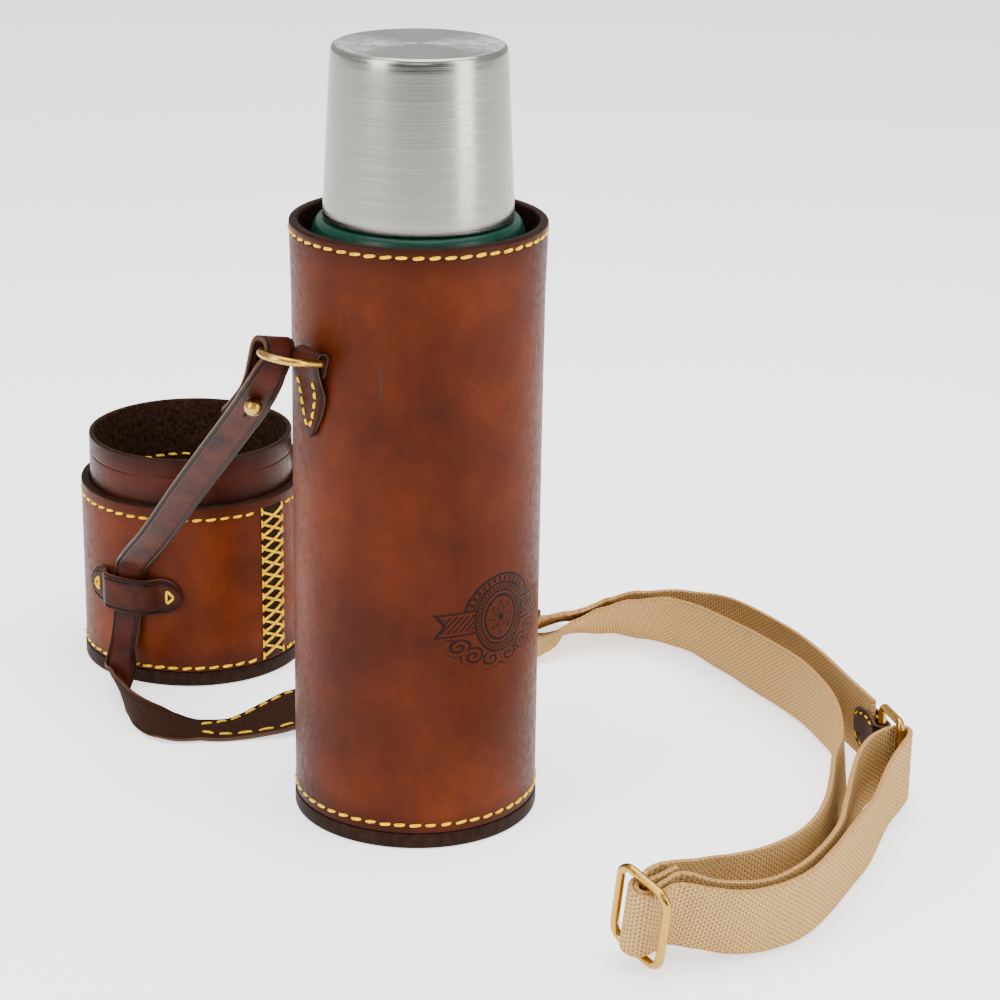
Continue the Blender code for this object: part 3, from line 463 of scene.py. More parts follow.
def rounded(points, radii, steps=4):
    """A closed outline with every corner rounded by its own radius."""
    made = []
    count = len(points)
    for index, (point, r) in enumerate(zip(points, radii)):
        p = np.array(point, float)
        a = np.array(points[index - 1], float) - p
        b = np.array(points[(index + 1) % count], float) - p
        la, lb = np.linalg.norm(a), np.linalg.norm(b)
        if r <= 0 or la < 1e-9 or lb < 1e-9:
            made.append(tuple(p))
            continue
        cut = min(r, la * 0.49, lb * 0.49)
        start, end = p + a / la * cut, p + b / lb * cut
        for step in range(steps + 1):
            t = step / steps
            made.append(tuple((1 - t) ** 2 * start + 2 * t * (1 - t) * p + t * t * end))
    return made


def dense(points, step):
    """The outline with its long straight sides divided."""
    made = []
    for a, b in zip(points, points[1:] + points[:1]):
        a, b = np.array(a), np.array(b)
        count = max(1, int(np.linalg.norm(b - a) / step))
        made += [tuple(a + (b - a) * k / count) for k in range(count)]
    return made


def lathe(name, outline, look, body, node, centre=(0, 0, 0), waver=0.0, **more):
    """Turn a closed (radius, z) outline about a vertical axis; u is arc length, v is height."""
    verts, loops = [], []
    for radius, z in outline:
        for step in range(ROUND):
            angle = 2 * math.pi * step / ROUND
            r = radius + waver * (math.sin(angle * 3 + z * 0.013) * 0.5
                                  + math.sin(angle * 5 - z * 0.021) * 0.3)
            verts.append((centre[0] + r * math.sin(angle), centre[1] - r * math.cos(angle),
                          centre[2] + z))
    faces = rings(len(outline), ROUND, closed=True)
    pitch = 2 * math.pi / ROUND * max(r for r, _ in outline) * MM
    for (_, low), (_, high) in zip(outline, outline[1:] + outline[:1]):
        for step in range(ROUND):
            a = (step if step < ROUND // 2 else step - ROUND) * pitch
            loops += [(a, low * MM), (a + pitch, low * MM), (a + pitch, high * MM), (a, high * MM)]
    area = sum(p[0] * q[1] - q[0] * p[1] for p, q in zip(outline, outline[1:] + outline[:1]))
    if area < 0:
        faces = [f[::-1] for f in faces]
        loops = [loops[i + j] for i in range(0, len(loops), 4) for j in (3, 2, 1, 0)]
    return make(name, verts, faces, look, body, node, uvs=loops, **more)


def tube(name, outline, radii, step, bore, look, body, node, centre, waver):
    """A leather wall: suede inside of the bore radius, a dark cut edge at the rim."""
    rim = max(z for _, z in outline) - CUT_EDGE
    made = lathe(name, dense(rounded(outline, radii), step), look, body, node, centre, waver,
                 looks=[look, "suede", "dark"])
    for polygon in made.data.polygons:
        place = polygon.center / MM
        inside = math.hypot(place.x - centre[0], place.y - centre[1]) < bore
        polygon.material_index = 1 if inside else 2 if place.z > rim else 0


def sole(name, radius, thick, body, node, centre, waver):
    """A round sole with rounded rims."""
    rim = rounded([(radius, 0), (radius, thick), (50.0, thick)], [1.1, 0.6, 0])
    lathe(name, [(0.01, 0), *rim, (0.01, thick)], "dark", body, node, centre, waver)


def spline(stations, per):
    """Finely sampled (point, across, width) rows through the given stations."""
    rows = []
    last = len(stations) - 1
    data = [(np.array(s[0:3], float), np.array(s[3:6], float), float(s[6])) for s in stations]
    for index in range(last):
        q = [data[max(index - 1, 0)], data[index], data[index + 1], data[min(index + 2, last)]]
        for step in range(per):
            t = step / per
            w = (-0.5 * t + t * t - 0.5 * t ** 3, 1 - 2.5 * t * t + 1.5 * t ** 3,
                 0.5 * t + 2 * t * t - 1.5 * t ** 3, -0.5 * t * t + 0.5 * t ** 3)
            point = sum(a * b[0] for a, b in zip(w, q))
            ease = t * t * (3 - 2 * t)
            rows.append((point, q[1][1] * (1 - ease) + q[2][1] * ease,
                         q[1][2] * (1 - t) + q[2][2] * t))
    rows.append(data[last])
    return rows


# Fine rows of a strip to each station of its path.
FINE = 8


class Ribbon:
    """A fine strip: frames along a path, from which several pieces can be cut."""

    def __init__(self, stations, thickness, per=FINE):
        self.thickness = thickness
        rows = spline(stations, per)
        points = np.array([r[0] for r in rows])
        self.points = points
        self.width = np.array([r[2] for r in rows])
        steps = np.linalg.norm(np.diff(points, axis=0), axis=1)
        self.length = np.concatenate([[0], np.cumsum(steps)])
        self.across, self.normal = [], []
        for index, row in enumerate(rows):
            a = points[max(index - 1, 0)]
            b = points[min(index + 1, len(rows) - 1)]
            t = (b - a) / np.linalg.norm(b - a)
            w = row[1] - t * row[1].dot(t)
            w = w / np.linalg.norm(w)
            self.across.append(w)
            self.normal.append(np.cross(t, w))
        self.end = len(points) - 1

    def at(self, index, across, lift):
        return self.points[index] + self.across[index] * across + self.normal[index] * lift

    def onward(self, start, reach, last):
        """The first row at least this far from start, or the last row."""
        index = start
        while index < last and self.length[index] - self.length[start] < reach:
            index += 1
        return index

    def section(self, look, width):
        h, t = width / 2, self.thickness / 2
        if look == "strap":
            half = [(-h, 0), (-h + 0.12, t * 0.62), (-h + 0.55, t), (-h + 1.5, t),
                    (-h + 1.85, t - 0.28), (-h + 2.2, t), (-h + 3.2, t + 0.03)]
        else:
            half = [(-h, 0), (-h + 0.15, t * 0.6), (-h + 0.6, t), (-h + 1.2, t), (-h + 5.0, t)]
        top = half + [(0, t)] + [(-x, y) for x, y in reversed(half)]
        low = [(x, -min(y, t)) for x, y in reversed(top[1:-1])]
        return top + low, len(top)

    def piece(self, name, first, last, look, body, node):
        """The strip from one fine row to another as a closed mesh, and its flat size."""
        verts, uvs, sides = [], [], []
        for index in range(first, last + 1):
            outline, count = self.section(look, self.width[index])
            for k, (x, y) in enumerate(outline):
                verts.append(self.at(index, x, y))
                uvs.append((x * MM, self.length[index] * MM))
                side = 1.0 if k < count and y > 0.2 else (0.5 if abs(y) < 0.2 else 0.0)
                sides.append((side, min(abs(x) / (self.width[index] / 2), 1.0)))
        faces = rings(last + 1 - first, len(outline))
        a, b, c = (np.array(verts[i]) for i in faces[0][:3])
        if np.cross(b - a, c - a).dot(a - self.points[first]) < 0:
            faces = [f[::-1] for f in faces]
        made = make(name, verts, faces, look, body, node, uvs, sides, sharp=50)
        length = float(self.length[last] - self.length[first])
        width = float(np.mean(self.width[first:last + 1]))
        return made, (width * MM, length * MM)


def sweep(path, radius, normal, closed=True, sides=18):
    """Vertices and faces of a round bar along a path."""
    verts = []
    count = len(path)
    path = [np.array(p, float) for p in path]
    normal = np.array(normal, float) / np.linalg.norm(normal)
    for index, point in enumerate(path):
        before = path[index - 1] if closed or index else point
        after = path[(index + 1) % count] if closed or index < count - 1 else point
        t = (after - before) / np.linalg.norm(after - before)
        side = np.cross(t, normal)
        side /= np.linalg.norm(side)
        for step in range(sides):
            angle = 2 * math.pi * step / sides
            verts.append(point + (side * math.cos(angle) + normal * math.sin(angle)) * radius)
    return verts, rings(count, sides, flip=True, closed=closed)


def joined(parts):
    """Several (vertices, faces) pairs as one."""
    verts, faces = [], []
    for v, f in parts:
        shift = len(verts)
        verts += list(v)
        faces += [tuple(i + shift for i in face) for face in f]
    return verts, faces


STITCH_PROFILE = ((0.0, 0.30, -0.75), (0.10, 0.75, -0.15), (0.28, 1.0, 0.10), (0.72, 1.0, 0.10),
                  (0.90, 0.75, -0.15), (1.0, 0.30, -0.75))


def stitch(start, end, up, radius):
    """One thread stitch: a fat little bar whose ends dip into the leather."""
    start, end, up = (np.array(v, float) for v in (start, end, up))
    up = up / np.linalg.norm(up)
    along = (end - start) / np.linalg.norm(end - start)
    side = np.cross(along, up)
    side = side / np.linalg.norm(side)
    verts = []
    for t, size, lift in STITCH_PROFILE:
        middle = start + (end - start) * t + up * (lift * radius)
        for angle in np.arange(8) * (math.pi / 4):
            verts.append(middle + (side * math.cos(angle) + up * math.sin(angle)) * radius * size)
    return verts, rings(len(STITCH_PROFILE), 8, flip=True)


def thread(name, parts, body=None, node=None):
    """Stitches and laces joined into one object."""
    return make(name, *joined(parts), "thread", body, node, sharp=60)


def out(azimuth):
    """The outward direction at an azimuth."""
    a = math.radians(azimuth)
    return np.array((math.sin(a), -math.cos(a), 0.0))


def wall_point(centre, radius, azimuth, z):
    return np.array(centre, float) + out(azimuth) * radius + np.array((0, 0, z))


STITCH_PITCH = 6.6
STITCH_GAP = 1.5
STITCH_SIZE = 0.72
SEAM_CLEARANCE = 8.5


def stitch_row(name, centre, radius, z, body, node, inward=False, clear_of=None):
    """A row of stitches round a wall, each a little off true, clear of the seam's lacing."""
    parts = []
    count = round(2 * math.pi * radius / STITCH_PITCH)
    step = 360 / count
    for index in range(count):
        azimuth = index * step
        if clear_of is not None and abs(azimuth - clear_of) < SEAM_CLEARANCE:
            continue
        half = step * (1 - STITCH_GAP / STITCH_PITCH) / 2
        tilt = rng.uniform(0.15, 0.42)
        a = azimuth - half + rng.uniform(-0.3, 0.3)
        b = azimuth + half + rng.uniform(-0.3, 0.3)
        start = wall_point(centre, radius, a, z - tilt + rng.uniform(-0.12, 0.12))
        end = wall_point(centre, radius, b, z + tilt + rng.uniform(-0.12, 0.12))
        up = out(azimuth) * (-1 if inward else 1)
        parts.append(stitch(start, end, up, STITCH_SIZE * rng.uniform(0.92, 1.08)))
    thread(name, parts, body, node)


def x_lacing(name, centre, radius, azimuth, half, low, high, pitch, body, node):
    """Cross stitches between two columns of holes."""
    parts = []
    count = int((high - low) / pitch)
    pitch = (high - low) / count
    for index in range(count):
        z = low + index * pitch
        for sign, lift in ((-1, 0.25), (1, 0.55)):
            ends = []
            for t in np.linspace(-1, 1, 7):
                jitter = 0.1 * math.sin(index * 2.1 + t)
                ends.append(wall_point(centre, radius + lift * (1 - abs(t) ** 4) + 0.1,
                                       azimuth + half * t, z + pitch * (0.5 + sign * t * 0.50) + jitter))
            parts.append(sweep(ends, 0.62, out(azimuth), closed=False, sides=8))
    for column in (azimuth - half, azimuth + half):
        for index in range(count + 1):
            z = low + index * pitch
            ends = [wall_point(centre, radius + 0.2, column, z + pitch * part) for part in (-0.32, 0.32)]
            parts.append(stitch(*ends, out(column), 0.5))
    thread(name, parts, body, node)


def wall_strip(name, centre, radius, azimuth, half, low, high, lift, body):
    """A thin dark strip of leather lying on a wall."""
    verts, faces = [], []
    columns = 13
    rows = [low, low + 0.6, high - 0.6, high]
    for z in rows:
        for k in range(columns):
            t = -1 + 2 * k / (columns - 1)
            edge = 0.0 if k in (0, columns - 1) or z in (rows[0], rows[-1]) else lift
            verts.append(wall_point(centre, radius + edge, azimuth + half * t, z))
    for r in range(len(rows) - 1):
        for k in range(columns - 1):
            a = r * columns + k
            faces.append((a, a + 1, a + columns + 1, a + columns))
    make(name, verts, faces, "dark", body, sharp=80)


# ---------------------------------------------------------------- case and lid
def leather_case():
    """The case's wall, sole and stitching, and its laced seam behind."""
    at = (0, 0, 0)
    tube("case_tube",
         [(CASE_BORE, CASE_FOOT), (CASE_RADIUS, CASE_FOOT), (CASE_RADIUS, 10.2), (52.3, 11.0),
          (52.55, 12.0), (CASE_RADIUS, 200), (52.6, 231), (53.25, 256.6), (52.95, CASE_RIM_STITCH),
          (53.35, 259.0), (CASE_RIM, CASE_TOP), (CASE_BORE, CASE_TOP)],
         [0, 0.3, 0.3, 0.3, 0.3, 0, 0, 0.3, 0.3, 0.3, 1.3, 1.3], 12, 50.2,
         "case", "case", "case_wall", at, 0.18)
    sole("case_base", 52.9, CASE_SOLE, "case", "case_sole", at, 0.15)
    stitch_row("case_base_stitches", at, CASE_RADIUS, 11.0, "case", "case_base_thread")
    stitch_row("case_top_stitches", at, 53.15, CASE_RIM_STITCH, "case", "case_top_thread")
    wall_strip("case_seam_strip", at, 52.4, SEAM_AZIMUTH, 7.5, 13, 226, 0.45, "case")
    x_lacing("case_seam_stitches", at, 52.8, SEAM_AZIMUTH, 6.4, 14.5, 224, 6.1, "case",
             "case_seam_lacing")


def leather_lid():
    """The lid upside down beside the case, with its inner sleeve, stitching and laced seam."""
    tube("lid_tube",
         [(LID_BORE, LID_FOOT), (LID_RADIUS, LID_FOOT), (LID_RADIUS, 8.9), (53.2, 9.5),
          (LID_RADIUS, 10.3), (53.4, 84.0), (53.05, LID_RIM_STITCH), (LID_RADIUS, 85.8),
          (LID_RADIUS, LID_TOP), (LID_BORE, LID_TOP)],
         [0, 0.2, 0.2, 0.2, 0.2, 0.2, 0.2, 0.2, 1.2, 0.6], 10, 50.2,
         "lid", "lid", "lid_wall", LID, 0.25)
    tube("lid_inner_sleeve",
         [(SLEEVE_BORE, LID_FOOT), (SLEEVE_RADIUS, LID_FOOT), (SLEEVE_RADIUS, 103.6), (48.6, 104.2),
          (SLEEVE_RADIUS, 104.9), (SLEEVE_RADIUS, SLEEVE_TOP), (SLEEVE_BORE, SLEEVE_TOP)],
         [0, 0, 0.3, 0.3, 0.3, 1.0, 0.9], 10, 47.2,
         "sleeve", "lid", "lid_sleeve", LID, 0.3)
    sole("lid_base", 53.9, LID_SOLE, "lid", "lid_sole", LID, 0.2)
    stitch_row("lid_base_stitches", LID, 53.45, 9.5, "lid", "lid_base_thread",
               clear_of=LACING_AZIMUTH)
    stitch_row("lid_top_stitches", LID, 53.25, LID_RIM_STITCH, "lid", "lid_top_thread",
               clear_of=LACING_AZIMUTH)
    stitch_row("lid_inner_stitches", LID, 46.45, LID_RIM_STITCH, "lid", None, inward=True)
    wall_strip("lid_seam_strip", LID, 53.35, LACING_AZIMUTH, 8.2, 9.0, 86.5, 0.4, "lid")
    x_lacing("lid_seam_stitches", LID, 53.85, LACING_AZIMUTH, 7.2, 10.5, 84.5, 6.0, "lid",
             "lid_seam_lacing")


# Half of a keeper: turn from its middle in degrees, radius, share of its full width.
KEEPER_HALF = ((9.0, 59.6, 1.0), (12.5, 58.2, 1.0), (16.0, 55.4, 1.0), (19.0, 54.9, 1.0),
               (23.0, 54.9, 0.86), (26.0, 54.9, 0.52), (27.5, 54.9, 0.20))


def keeper(name, azimuth, node):
    """A raised strap keeper: pointed ends stitched down, middle lifted over the strap."""
    shape = [(-turn, *rest) for turn, *rest in reversed(KEEPER_HALF)]
    shape += [(0, 59.7, 1.0), *KEEPER_HALF]
    ribbon = Ribbon([(*wall_point(LID, radius, azimuth + turn, KEEPER_HEIGHT), 0, 0, 1,
                      KEEPER_WIDTH * share) for turn, radius, share in shape], KEEPER_THICKNESS, 5)
    ribbon.piece(name, 0, ribbon.end, "strap", "lid", node)
    parts = []
    for sign in (-1, 1):
        tip, top, low = (wall_point(LID, KEEPER_SKIN, azimuth + sign * turn, KEEPER_HEIGHT + rise)
                         for turn, rise in ((24.0, 0.0), (20.2, 3.4), (20.2, -3.4)))
        for start, end in ((tip, top), (top, low), (low, tip)):
            parts.append(stitch(start, end, out(azimuth + sign * 22), 0.62))
    thread(name + "_stitches", parts, "lid")


# ---------------------------------------------------------------- flask
def flask_and_cup():
    """The flask's shell, of which a rim shows, and the steel cup over its neck."""
    shell = rounded([(45.0, FLASK_BASE), (45.0, 246), (44.7, 252), (43.8, 257), (42.6, 260.4),
                     (41.2, 262.0), (29.0, 262.2), (29.0, 297), (27.8, 297), (27.8, 260.8),
                     (41.0, 260.6), (43.8, 246), (43.8, FLASK_BASE)],
                    [0, 3, 2, 2, 1.4, 0.8, 0, 0.3, 0.3, 0, 0, 0, 0])
    lathe("flask_body", shell, "green", "flask", "flask_shell")
    outline = rounded([(38.6, CUP_BASE), (39.5, CUP_BASE), (36.1, 328.4), (35.6, CUP_TOP),
                       (0.01, CUP_TOP), (0.01, CUP_TOP - 0.9), (34.2, CUP_TOP - 0.9), (35.2, 328.0)],
                      [0.3, 0.4, 2.0, 4.2, 0, 0, 2.4, 2.0], 7)
    cup = lathe("cup_steel", dense(outline, 6), "steel", "cup", "cup_shell", sharp=30,
                looks=["steel", "steel_top"])
    for polygon in cup.data.polygons:
        flat_top = polygon.normal.z > 0.93 and polygon.center.z > (CUP_TOP - 0.5) * MM
        polygon.material_index = 1 if flat_top else 0


# ---------------------------------------------------------------- billets
# Stations of a strip: x, y, z, the direction across it, and its width where that is not the usual one.
FRONT_BILLET = (
    (-75.2, -1.5, 175.6, 0.91, 0.03, -0.4), (-71.3, -10.6, 182.4, 0.91, 0.03, -0.4),
    (-65.4, -24, 194.2, 0.88, 0.15, -0.44), (-62.9, -27.6, 204.5, 0.8, 0.45, -0.38),
    (-61.3, -29.9, 215.5, 0.74, 0.61, -0.22), (-59.1, -31.3, 218.1, 0.74, 0.61, -0.22),
    (-56.7, -34.1, 218.3, 0.74, 0.61, -0.22), (-55.6, -36.7, 216, 0.74, 0.61, -0.22),
    (-56.3, -37.7, 212.5, 0.74, 0.61, -0.22), (-59.9, -36.2, 205.5, 0.76, 0.5, -0.42),
    (-62.6, -32.4, 199.2, 0.8, 0.35, -0.46), (-66, -26.5, 192, 0.88, 0.15, -0.44),
    (-72, -13.2, 179.8, 0.91, 0.03, -0.4), (-99.5, 42, 129, 0.91, -0.08, -0.38),
    (-119.2, 83.4, 90.8, 0.9, -0.25, -0.25), (-130.6, 107, 71, 0.89, -0.4, -0.1),
    (-135.8, 121, 59.5, 0.88, -0.47, 0), (-137.3, 123, 47, 0.875, -0.485, 0),
    (-138.2, 123.6, 34, 0.866, -0.5, 0), (-140, 122.6, 22, 0.85, -0.53, 0),
    (-141.2, 116, 12.5, 0.77, -0.4, -0.4), (-140.2, 103, 8.4, 0.5, -0.15, -0.85),
    (-135.5, 86, 8, 0.2, -0.15, -0.96), (-126.5, 68.5, 8, 0, -0.35, -0.93),
    (-113, 60.5, 5.6, -0.05, -0.85, -0.5), (-99, 61.5, 3.2, 0.02, -0.97, -0.15),
    (-84, 64.5, 2.4, 0.1, -0.98, -0.1, 18), (-68, 71.5, 4.4, 0.25, -0.95, -0.1, 27),
    (-54, 80.5, 6.2, 0.38, -0.92, -0.06, 33), (-38, 92, 6.4, 0.5, -0.86, 0, 33),
    (-24, 102, 6.4, 0.6, -0.8, 0, 31), (-17, 107, 6.4, 0.6, -0.8, 0, 17))
BACK_BILLET = (
    (26.6, 83.1, 174.4, 0.76, -0.25, -0.6), (32.9, 67.7, 185.5, 0.73, -0.2, -0.66),
    (34.8, 61, 189.5, 0.73, -0.18, -0.66), (37.3, 48.3, 195.7, 0.726, -0.183, -0.663),
    (39.6, 46.1, 198.8, 0.726, -0.183, -0.663), (42.6, 47.3, 201.8, 0.726, -0.183, -0.663),
    (44.6, 51.2, 202.9, 0.726, -0.183, -0.663), (44.3, 55.3, 201.5, 0.726, -0.183, -0.663),
    (38, 64.2, 192.1, 0.73, -0.18, -0.66), (34.9, 69.7, 187.1, 0.73, -0.2, -0.66),
    (28.6, 85.1, 176, 0.76, -0.25, -0.6), (10, 118, 150, 0.78, -0.4, -0.48),
    (-30, 178, 110, 0.82, -0.48, -0.25), (-62, 216, 83, 0.86, -0.48, -0.08),
    (-77.5, 225, 69, 0.874, -0.485, 0), (-82.4, 222.2, 58.5, 0.874, -0.485, 0),
    (-82.8, 221.3, 47, 0.874, -0.485, 0), (-83.2, 221.9, 35, 0.874, -0.485, 0),
    (-84.2, 225, 20, 0.8, -0.6, 0), (-81.5, 231, 9.5, 0.5, -0.85, 0.1),
    (-71, 235, 3.4, 0.2, -0.98, 0.05), (-55, 235, 1.8, 0.05, -1, 0), (-30, 228.5, 1.8, -0.25, -0.97, 0),
    (-2, 215, 2.4, -0.42, -0.91, 0, 16), (18, 205, 4.8, -0.36, -0.93, 0.03, 28),
    (38, 197.4, 6.4, -0.22, -0.97, 0.08, 33), (54, 193, 7.6, -0.1, -0.97, 0.16, 31),
    (61.5, 191.4, 8.2, -0.05, -0.97, 0.2, 17))


PADDLE_STITCH, PADDLE_PITCH = 4.6, 6.4
CHAPE_STITCH = 3.4
STITCH_MARGIN = 2.6


def paddle_stitches(name, ribbon, first):
    """Two lines of stitches on the upper side of a sewn paddle, spreading with it."""
    parts = []
    last = ribbon.end - 2
    for sign in (-1, 1):
        index = first
        while index < last - 3:
            start = index
            index = ribbon.onward(start, PADDLE_STITCH, last)
            ends = []
            for row in (start, index):
                spread = 3.0 + (ribbon.length[row] - ribbon.length[first]) * 0.27
                most = ribbon.width[row] / 2 - STITCH_MARGIN
                ends.append(ribbon.at(row, sign * min(most, spread), -1.35))
            parts.append(stitch(*ends, -ribbon.normal[start], 0.62))
            index = max(index + 1, ribbon.onward(start, PADDLE_PITCH, last))
    return thread(name, parts)


def billet(name, stations, node, ring, marks, stud_at, stud_normal, paddle):
    """A leather strap in four lengths; the length held under its keeper goes with the lid, the other
    three stay where they are.
    """
    ribbon = Ribbon([(*station, BILLET_WIDTH)[:7] for station in stations], BILLET_THICKNESS)
    rows = [0, *(mark * FINE for mark in marks), ribbon.end]
    follows = {"loop": (ring, "case"), "hanging": ("case", "lid"), "held": None,
               "ground": ("lid", "case")}
    for (label, joint), first, last in zip(follows.items(), rows, rows[1:]):
        made, flat = ribbon.piece(f"{name}_{label}", first, last, "strap", None, node)
        if joint is None:
            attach(made, "lid")
        else:
            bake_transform(made)
    stitches = paddle_stitches(name + "_stitches", ribbon, paddle * FINE)
    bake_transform(stitches)
    stud_normal = np.array(stud_normal) / np.linalg.norm(stud_normal)
    stud(name + "_stud", np.array(stud_at) - stud_normal * STUD_FOOT, stud_normal,
         "stud_" + name.split("_")[0])
    nearest = int(np.argmin([np.linalg.norm(point - stud_at) for point in ribbon.points]))
    outward = math.copysign(1.0, ribbon.normal[nearest].dot(stud_normal))
    # Painted shade: a near-black bar on the strap beside the stud stands in for the shade inside the
    # slit.
    slit_ends = [ribbon.at(nearest + step, 0.0, outward * 1.3) for step in (1, 8)]
    slit = make(name + "_slit", *stitch(*slit_ends, ribbon.normal[nearest] * outward, 0.7), "slit",
                sharp=60)
    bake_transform(slit)


def stud(name, base, normal, node):
    """A ball-headed brass stud, turned about its own axis."""
    side = np.cross(normal, (0, 0, 1.0))
    side /= np.linalg.norm(side)
    other = np.cross(normal, side)
    profile = [(0.01, 0), (3.1, 0), (3.2, 0.5), (3.0, 0.9), (1.7, 1.0), (1.6, 8.2), (2.0, 8.5),
               (2.2, 8.9)]
    profile += [(STUD_BALL * math.cos(a), 12.0 + STUD_BALL * math.sin(a))
                for a in map(math.radians, range(-54, 90, 9))] + [(0.01, 12.0 + STUD_BALL)]
    verts = [base + normal * z + (side * math.cos(t) + other * math.sin(t)) * r
             for r, z in profile for t in np.linspace(0, 2 * math.pi, 40, endpoint=False)]
    make(name, verts, rings(len(profile), 40, flip=True, caps=False), "brass", "case", node, sharp=50)


# ---------------------------------------------------------------- rings and tabs
def dee(name, bar, along, across, body, node):
    """A brass ring with one straight side, the bar, from which it reaches along."""
    along = np.array(along) / np.linalg.norm(along)
    across = np.array(across, float)
    across -= along * across.dot(along)
    across /= np.linalg.norm(across)
    bar = np.array(bar)
    hub = bar + along * 9.0
    path = [hub + (across * math.sin(a) + along * math.cos(a)) * RING_HALF_WIDTH
            for a in np.linspace(-math.pi / 2, math.pi / 2, 40)]
    corner = 2.2
    for sign in (1, -1):
        turn = bar + along * corner + across * sign * (RING_HALF_WIDTH - corner)
        for a in np.linspace(0, math.pi / 2, 8)[::sign]:
            path.append(turn + (across * sign * math.cos(a) - along * math.sin(a)) * corner)
    make(name, *sweep(path, RING_WIRE, np.cross(along, across)), "brass", body, node, sharp=60)


def tab(name, azimuth, fold_azimuth, bar, node):
    """A pointed tab that follows the wall and folds over the ring's bar, with its stitching."""
    reach = math.hypot(bar[0], bar[1])
    low = bar[2] - 35
    rows = [(azimuth, radius, low + rise, 0, 0, 0, 20 * share) for rise, radius, share in
            ((0, 53.9, 0.05), (1.0, 53.9, 0.17), (5, 54.0, 0.46), (10, 54.1, 0.74),
             (16, 54.2, 0.95), (20, 54.6, 1.0), (26, 56.2, 0.94))]
    for angle in np.radians(range(0, 181, 30)):
        rows.append((fold_azimuth, reach + 3.25 * math.cos(angle), bar[2] + 3.25 * math.sin(angle),
                     0, 0, 0, 15))
    rows.append((fold_azimuth, 54.0, bar[2] - 8, 0, 0, 0, 9))
    fine = spline(rows, 6)
    half = 1.1
    columns = 13
    verts, uvs, sides = [], [], []
    path = np.array([(f[0][1], f[0][2]) for f in fine])
    for index, row in enumerate(fine):
        a = path[max(index - 1, 0)]
        b = path[min(index + 1, len(fine) - 1)]
        t = (b - a) / np.linalg.norm(b - a)
        for face in (1, -1):
            for k in range(columns) if face > 0 else range(columns - 2, 0, -1):
                u = -1 + 2 * k / (columns - 1)
                x = u * row[2] / 2
                thick = half * (1 - 0.9 * abs(u) ** 14)
                radius = row[0][1] + t[1] * thick * face
                z = row[0][2] - t[0] * thick * face
                verts.append(wall_point((0, 0, 0), radius, row[0][0] + math.degrees(x / TAB_RADIUS), z))
                uvs.append((x * MM, index * MM))
                sides.append((1.0 if face > 0 else 0.0, abs(u)))
    faces = rings(len(fine), 2 * columns - 2)
    make(name, verts, faces, "strap", "case", node, uvs, sides, sharp=50)
    skin = [(row[0][2], row[0][1] + half) for row in fine if row[0][2] < bar[2] - 2]
    skin = [skin[k] for k in range(len(skin)) if k == 0 or skin[k][0] > skin[k - 1][0]]
    parts = []
    for sign in (-1, 1):
        spots = [(0.6, low + 4.6)]
        z = low + 8.2
        while z < bar[2] - 5:
            spots.append((min(5.2, 2.0 + (z - low - 6) * 0.26), z))
            z += 4.4
        for (x0, z0), (x1, z1) in zip(spots, spots[1:]):
            ends = []
            for t in (0.14, 0.86):
                x = sign * (x0 + (x1 - x0) * t)
                height = z0 + (z1 - z0) * t
                radius = np.interp(height, *zip(*skin)) + 0.25
                ends.append(wall_point((0, 0, 0), radius, azimuth + math.degrees(x / TAB_RADIUS), height))
            parts.append(stitch(*ends, out(azimuth), 0.6))
    thread(name + "_stitches", parts, "case")


# ---------------------------------------------------------------- webbing
LONG_WEBBING = (
    (-42, 84, 1.5, 0.55, -0.84, 0), (-20, 99.5, 1.5, 0.6, -0.8, 0), (8, 120.5, 1.5, 0.6, -0.8, 0),
    (36, 147, 3, 0.5, -0.86, 0.04), (58.5, 164, 4.6, 0.2, -0.97, 0.12),
    (76.6, 171.7, 9.9, 0, -0.86, 0.51), (94, 174, 12.8, -0.12, -0.72, 0.69),
    (110.6, 171, 14.6, -0.22, -0.5, 0.83), (130, 161.5, 16.2, -0.2, -0.28, 0.94),
    (147.5, 136.5, 16.9, -0.13, -0.12, 0.98), (164, 108, 17.1, -0.07, -0.03, 1),
    (178.8, 79.7, 17.1, -0.05, -0.02, 1), (186, 56.5, 17.1, -0.07, 0, 1),
    (189.6, 38, 17.1, -0.1, 0, 0.99), (190, 16, 17.1, -0.1, 0, 0.99), (187.2, -8, 17.1, -0.1, 0, 0.99),
    (181.6, -27, 17.1, -0.1, 0, 0.99), (176.9, -50, 17.1, -0.09, 0, 0.99),
    (172, -70, 17.1, -0.08, 0.02, 0.99), (164, -90, 17.2, -0.07, 0.03, 0.99),
    (152, -106.5, 17.4, -0.06, 0.02, 0.99), (135.5, -118.5, 17.8, -0.04, -0.04, 0.99),
    (118, -125.5, 19, -0.01, -0.12, 0.98), (103.5, -134, 22, 0.03, -0.2, 0.97))
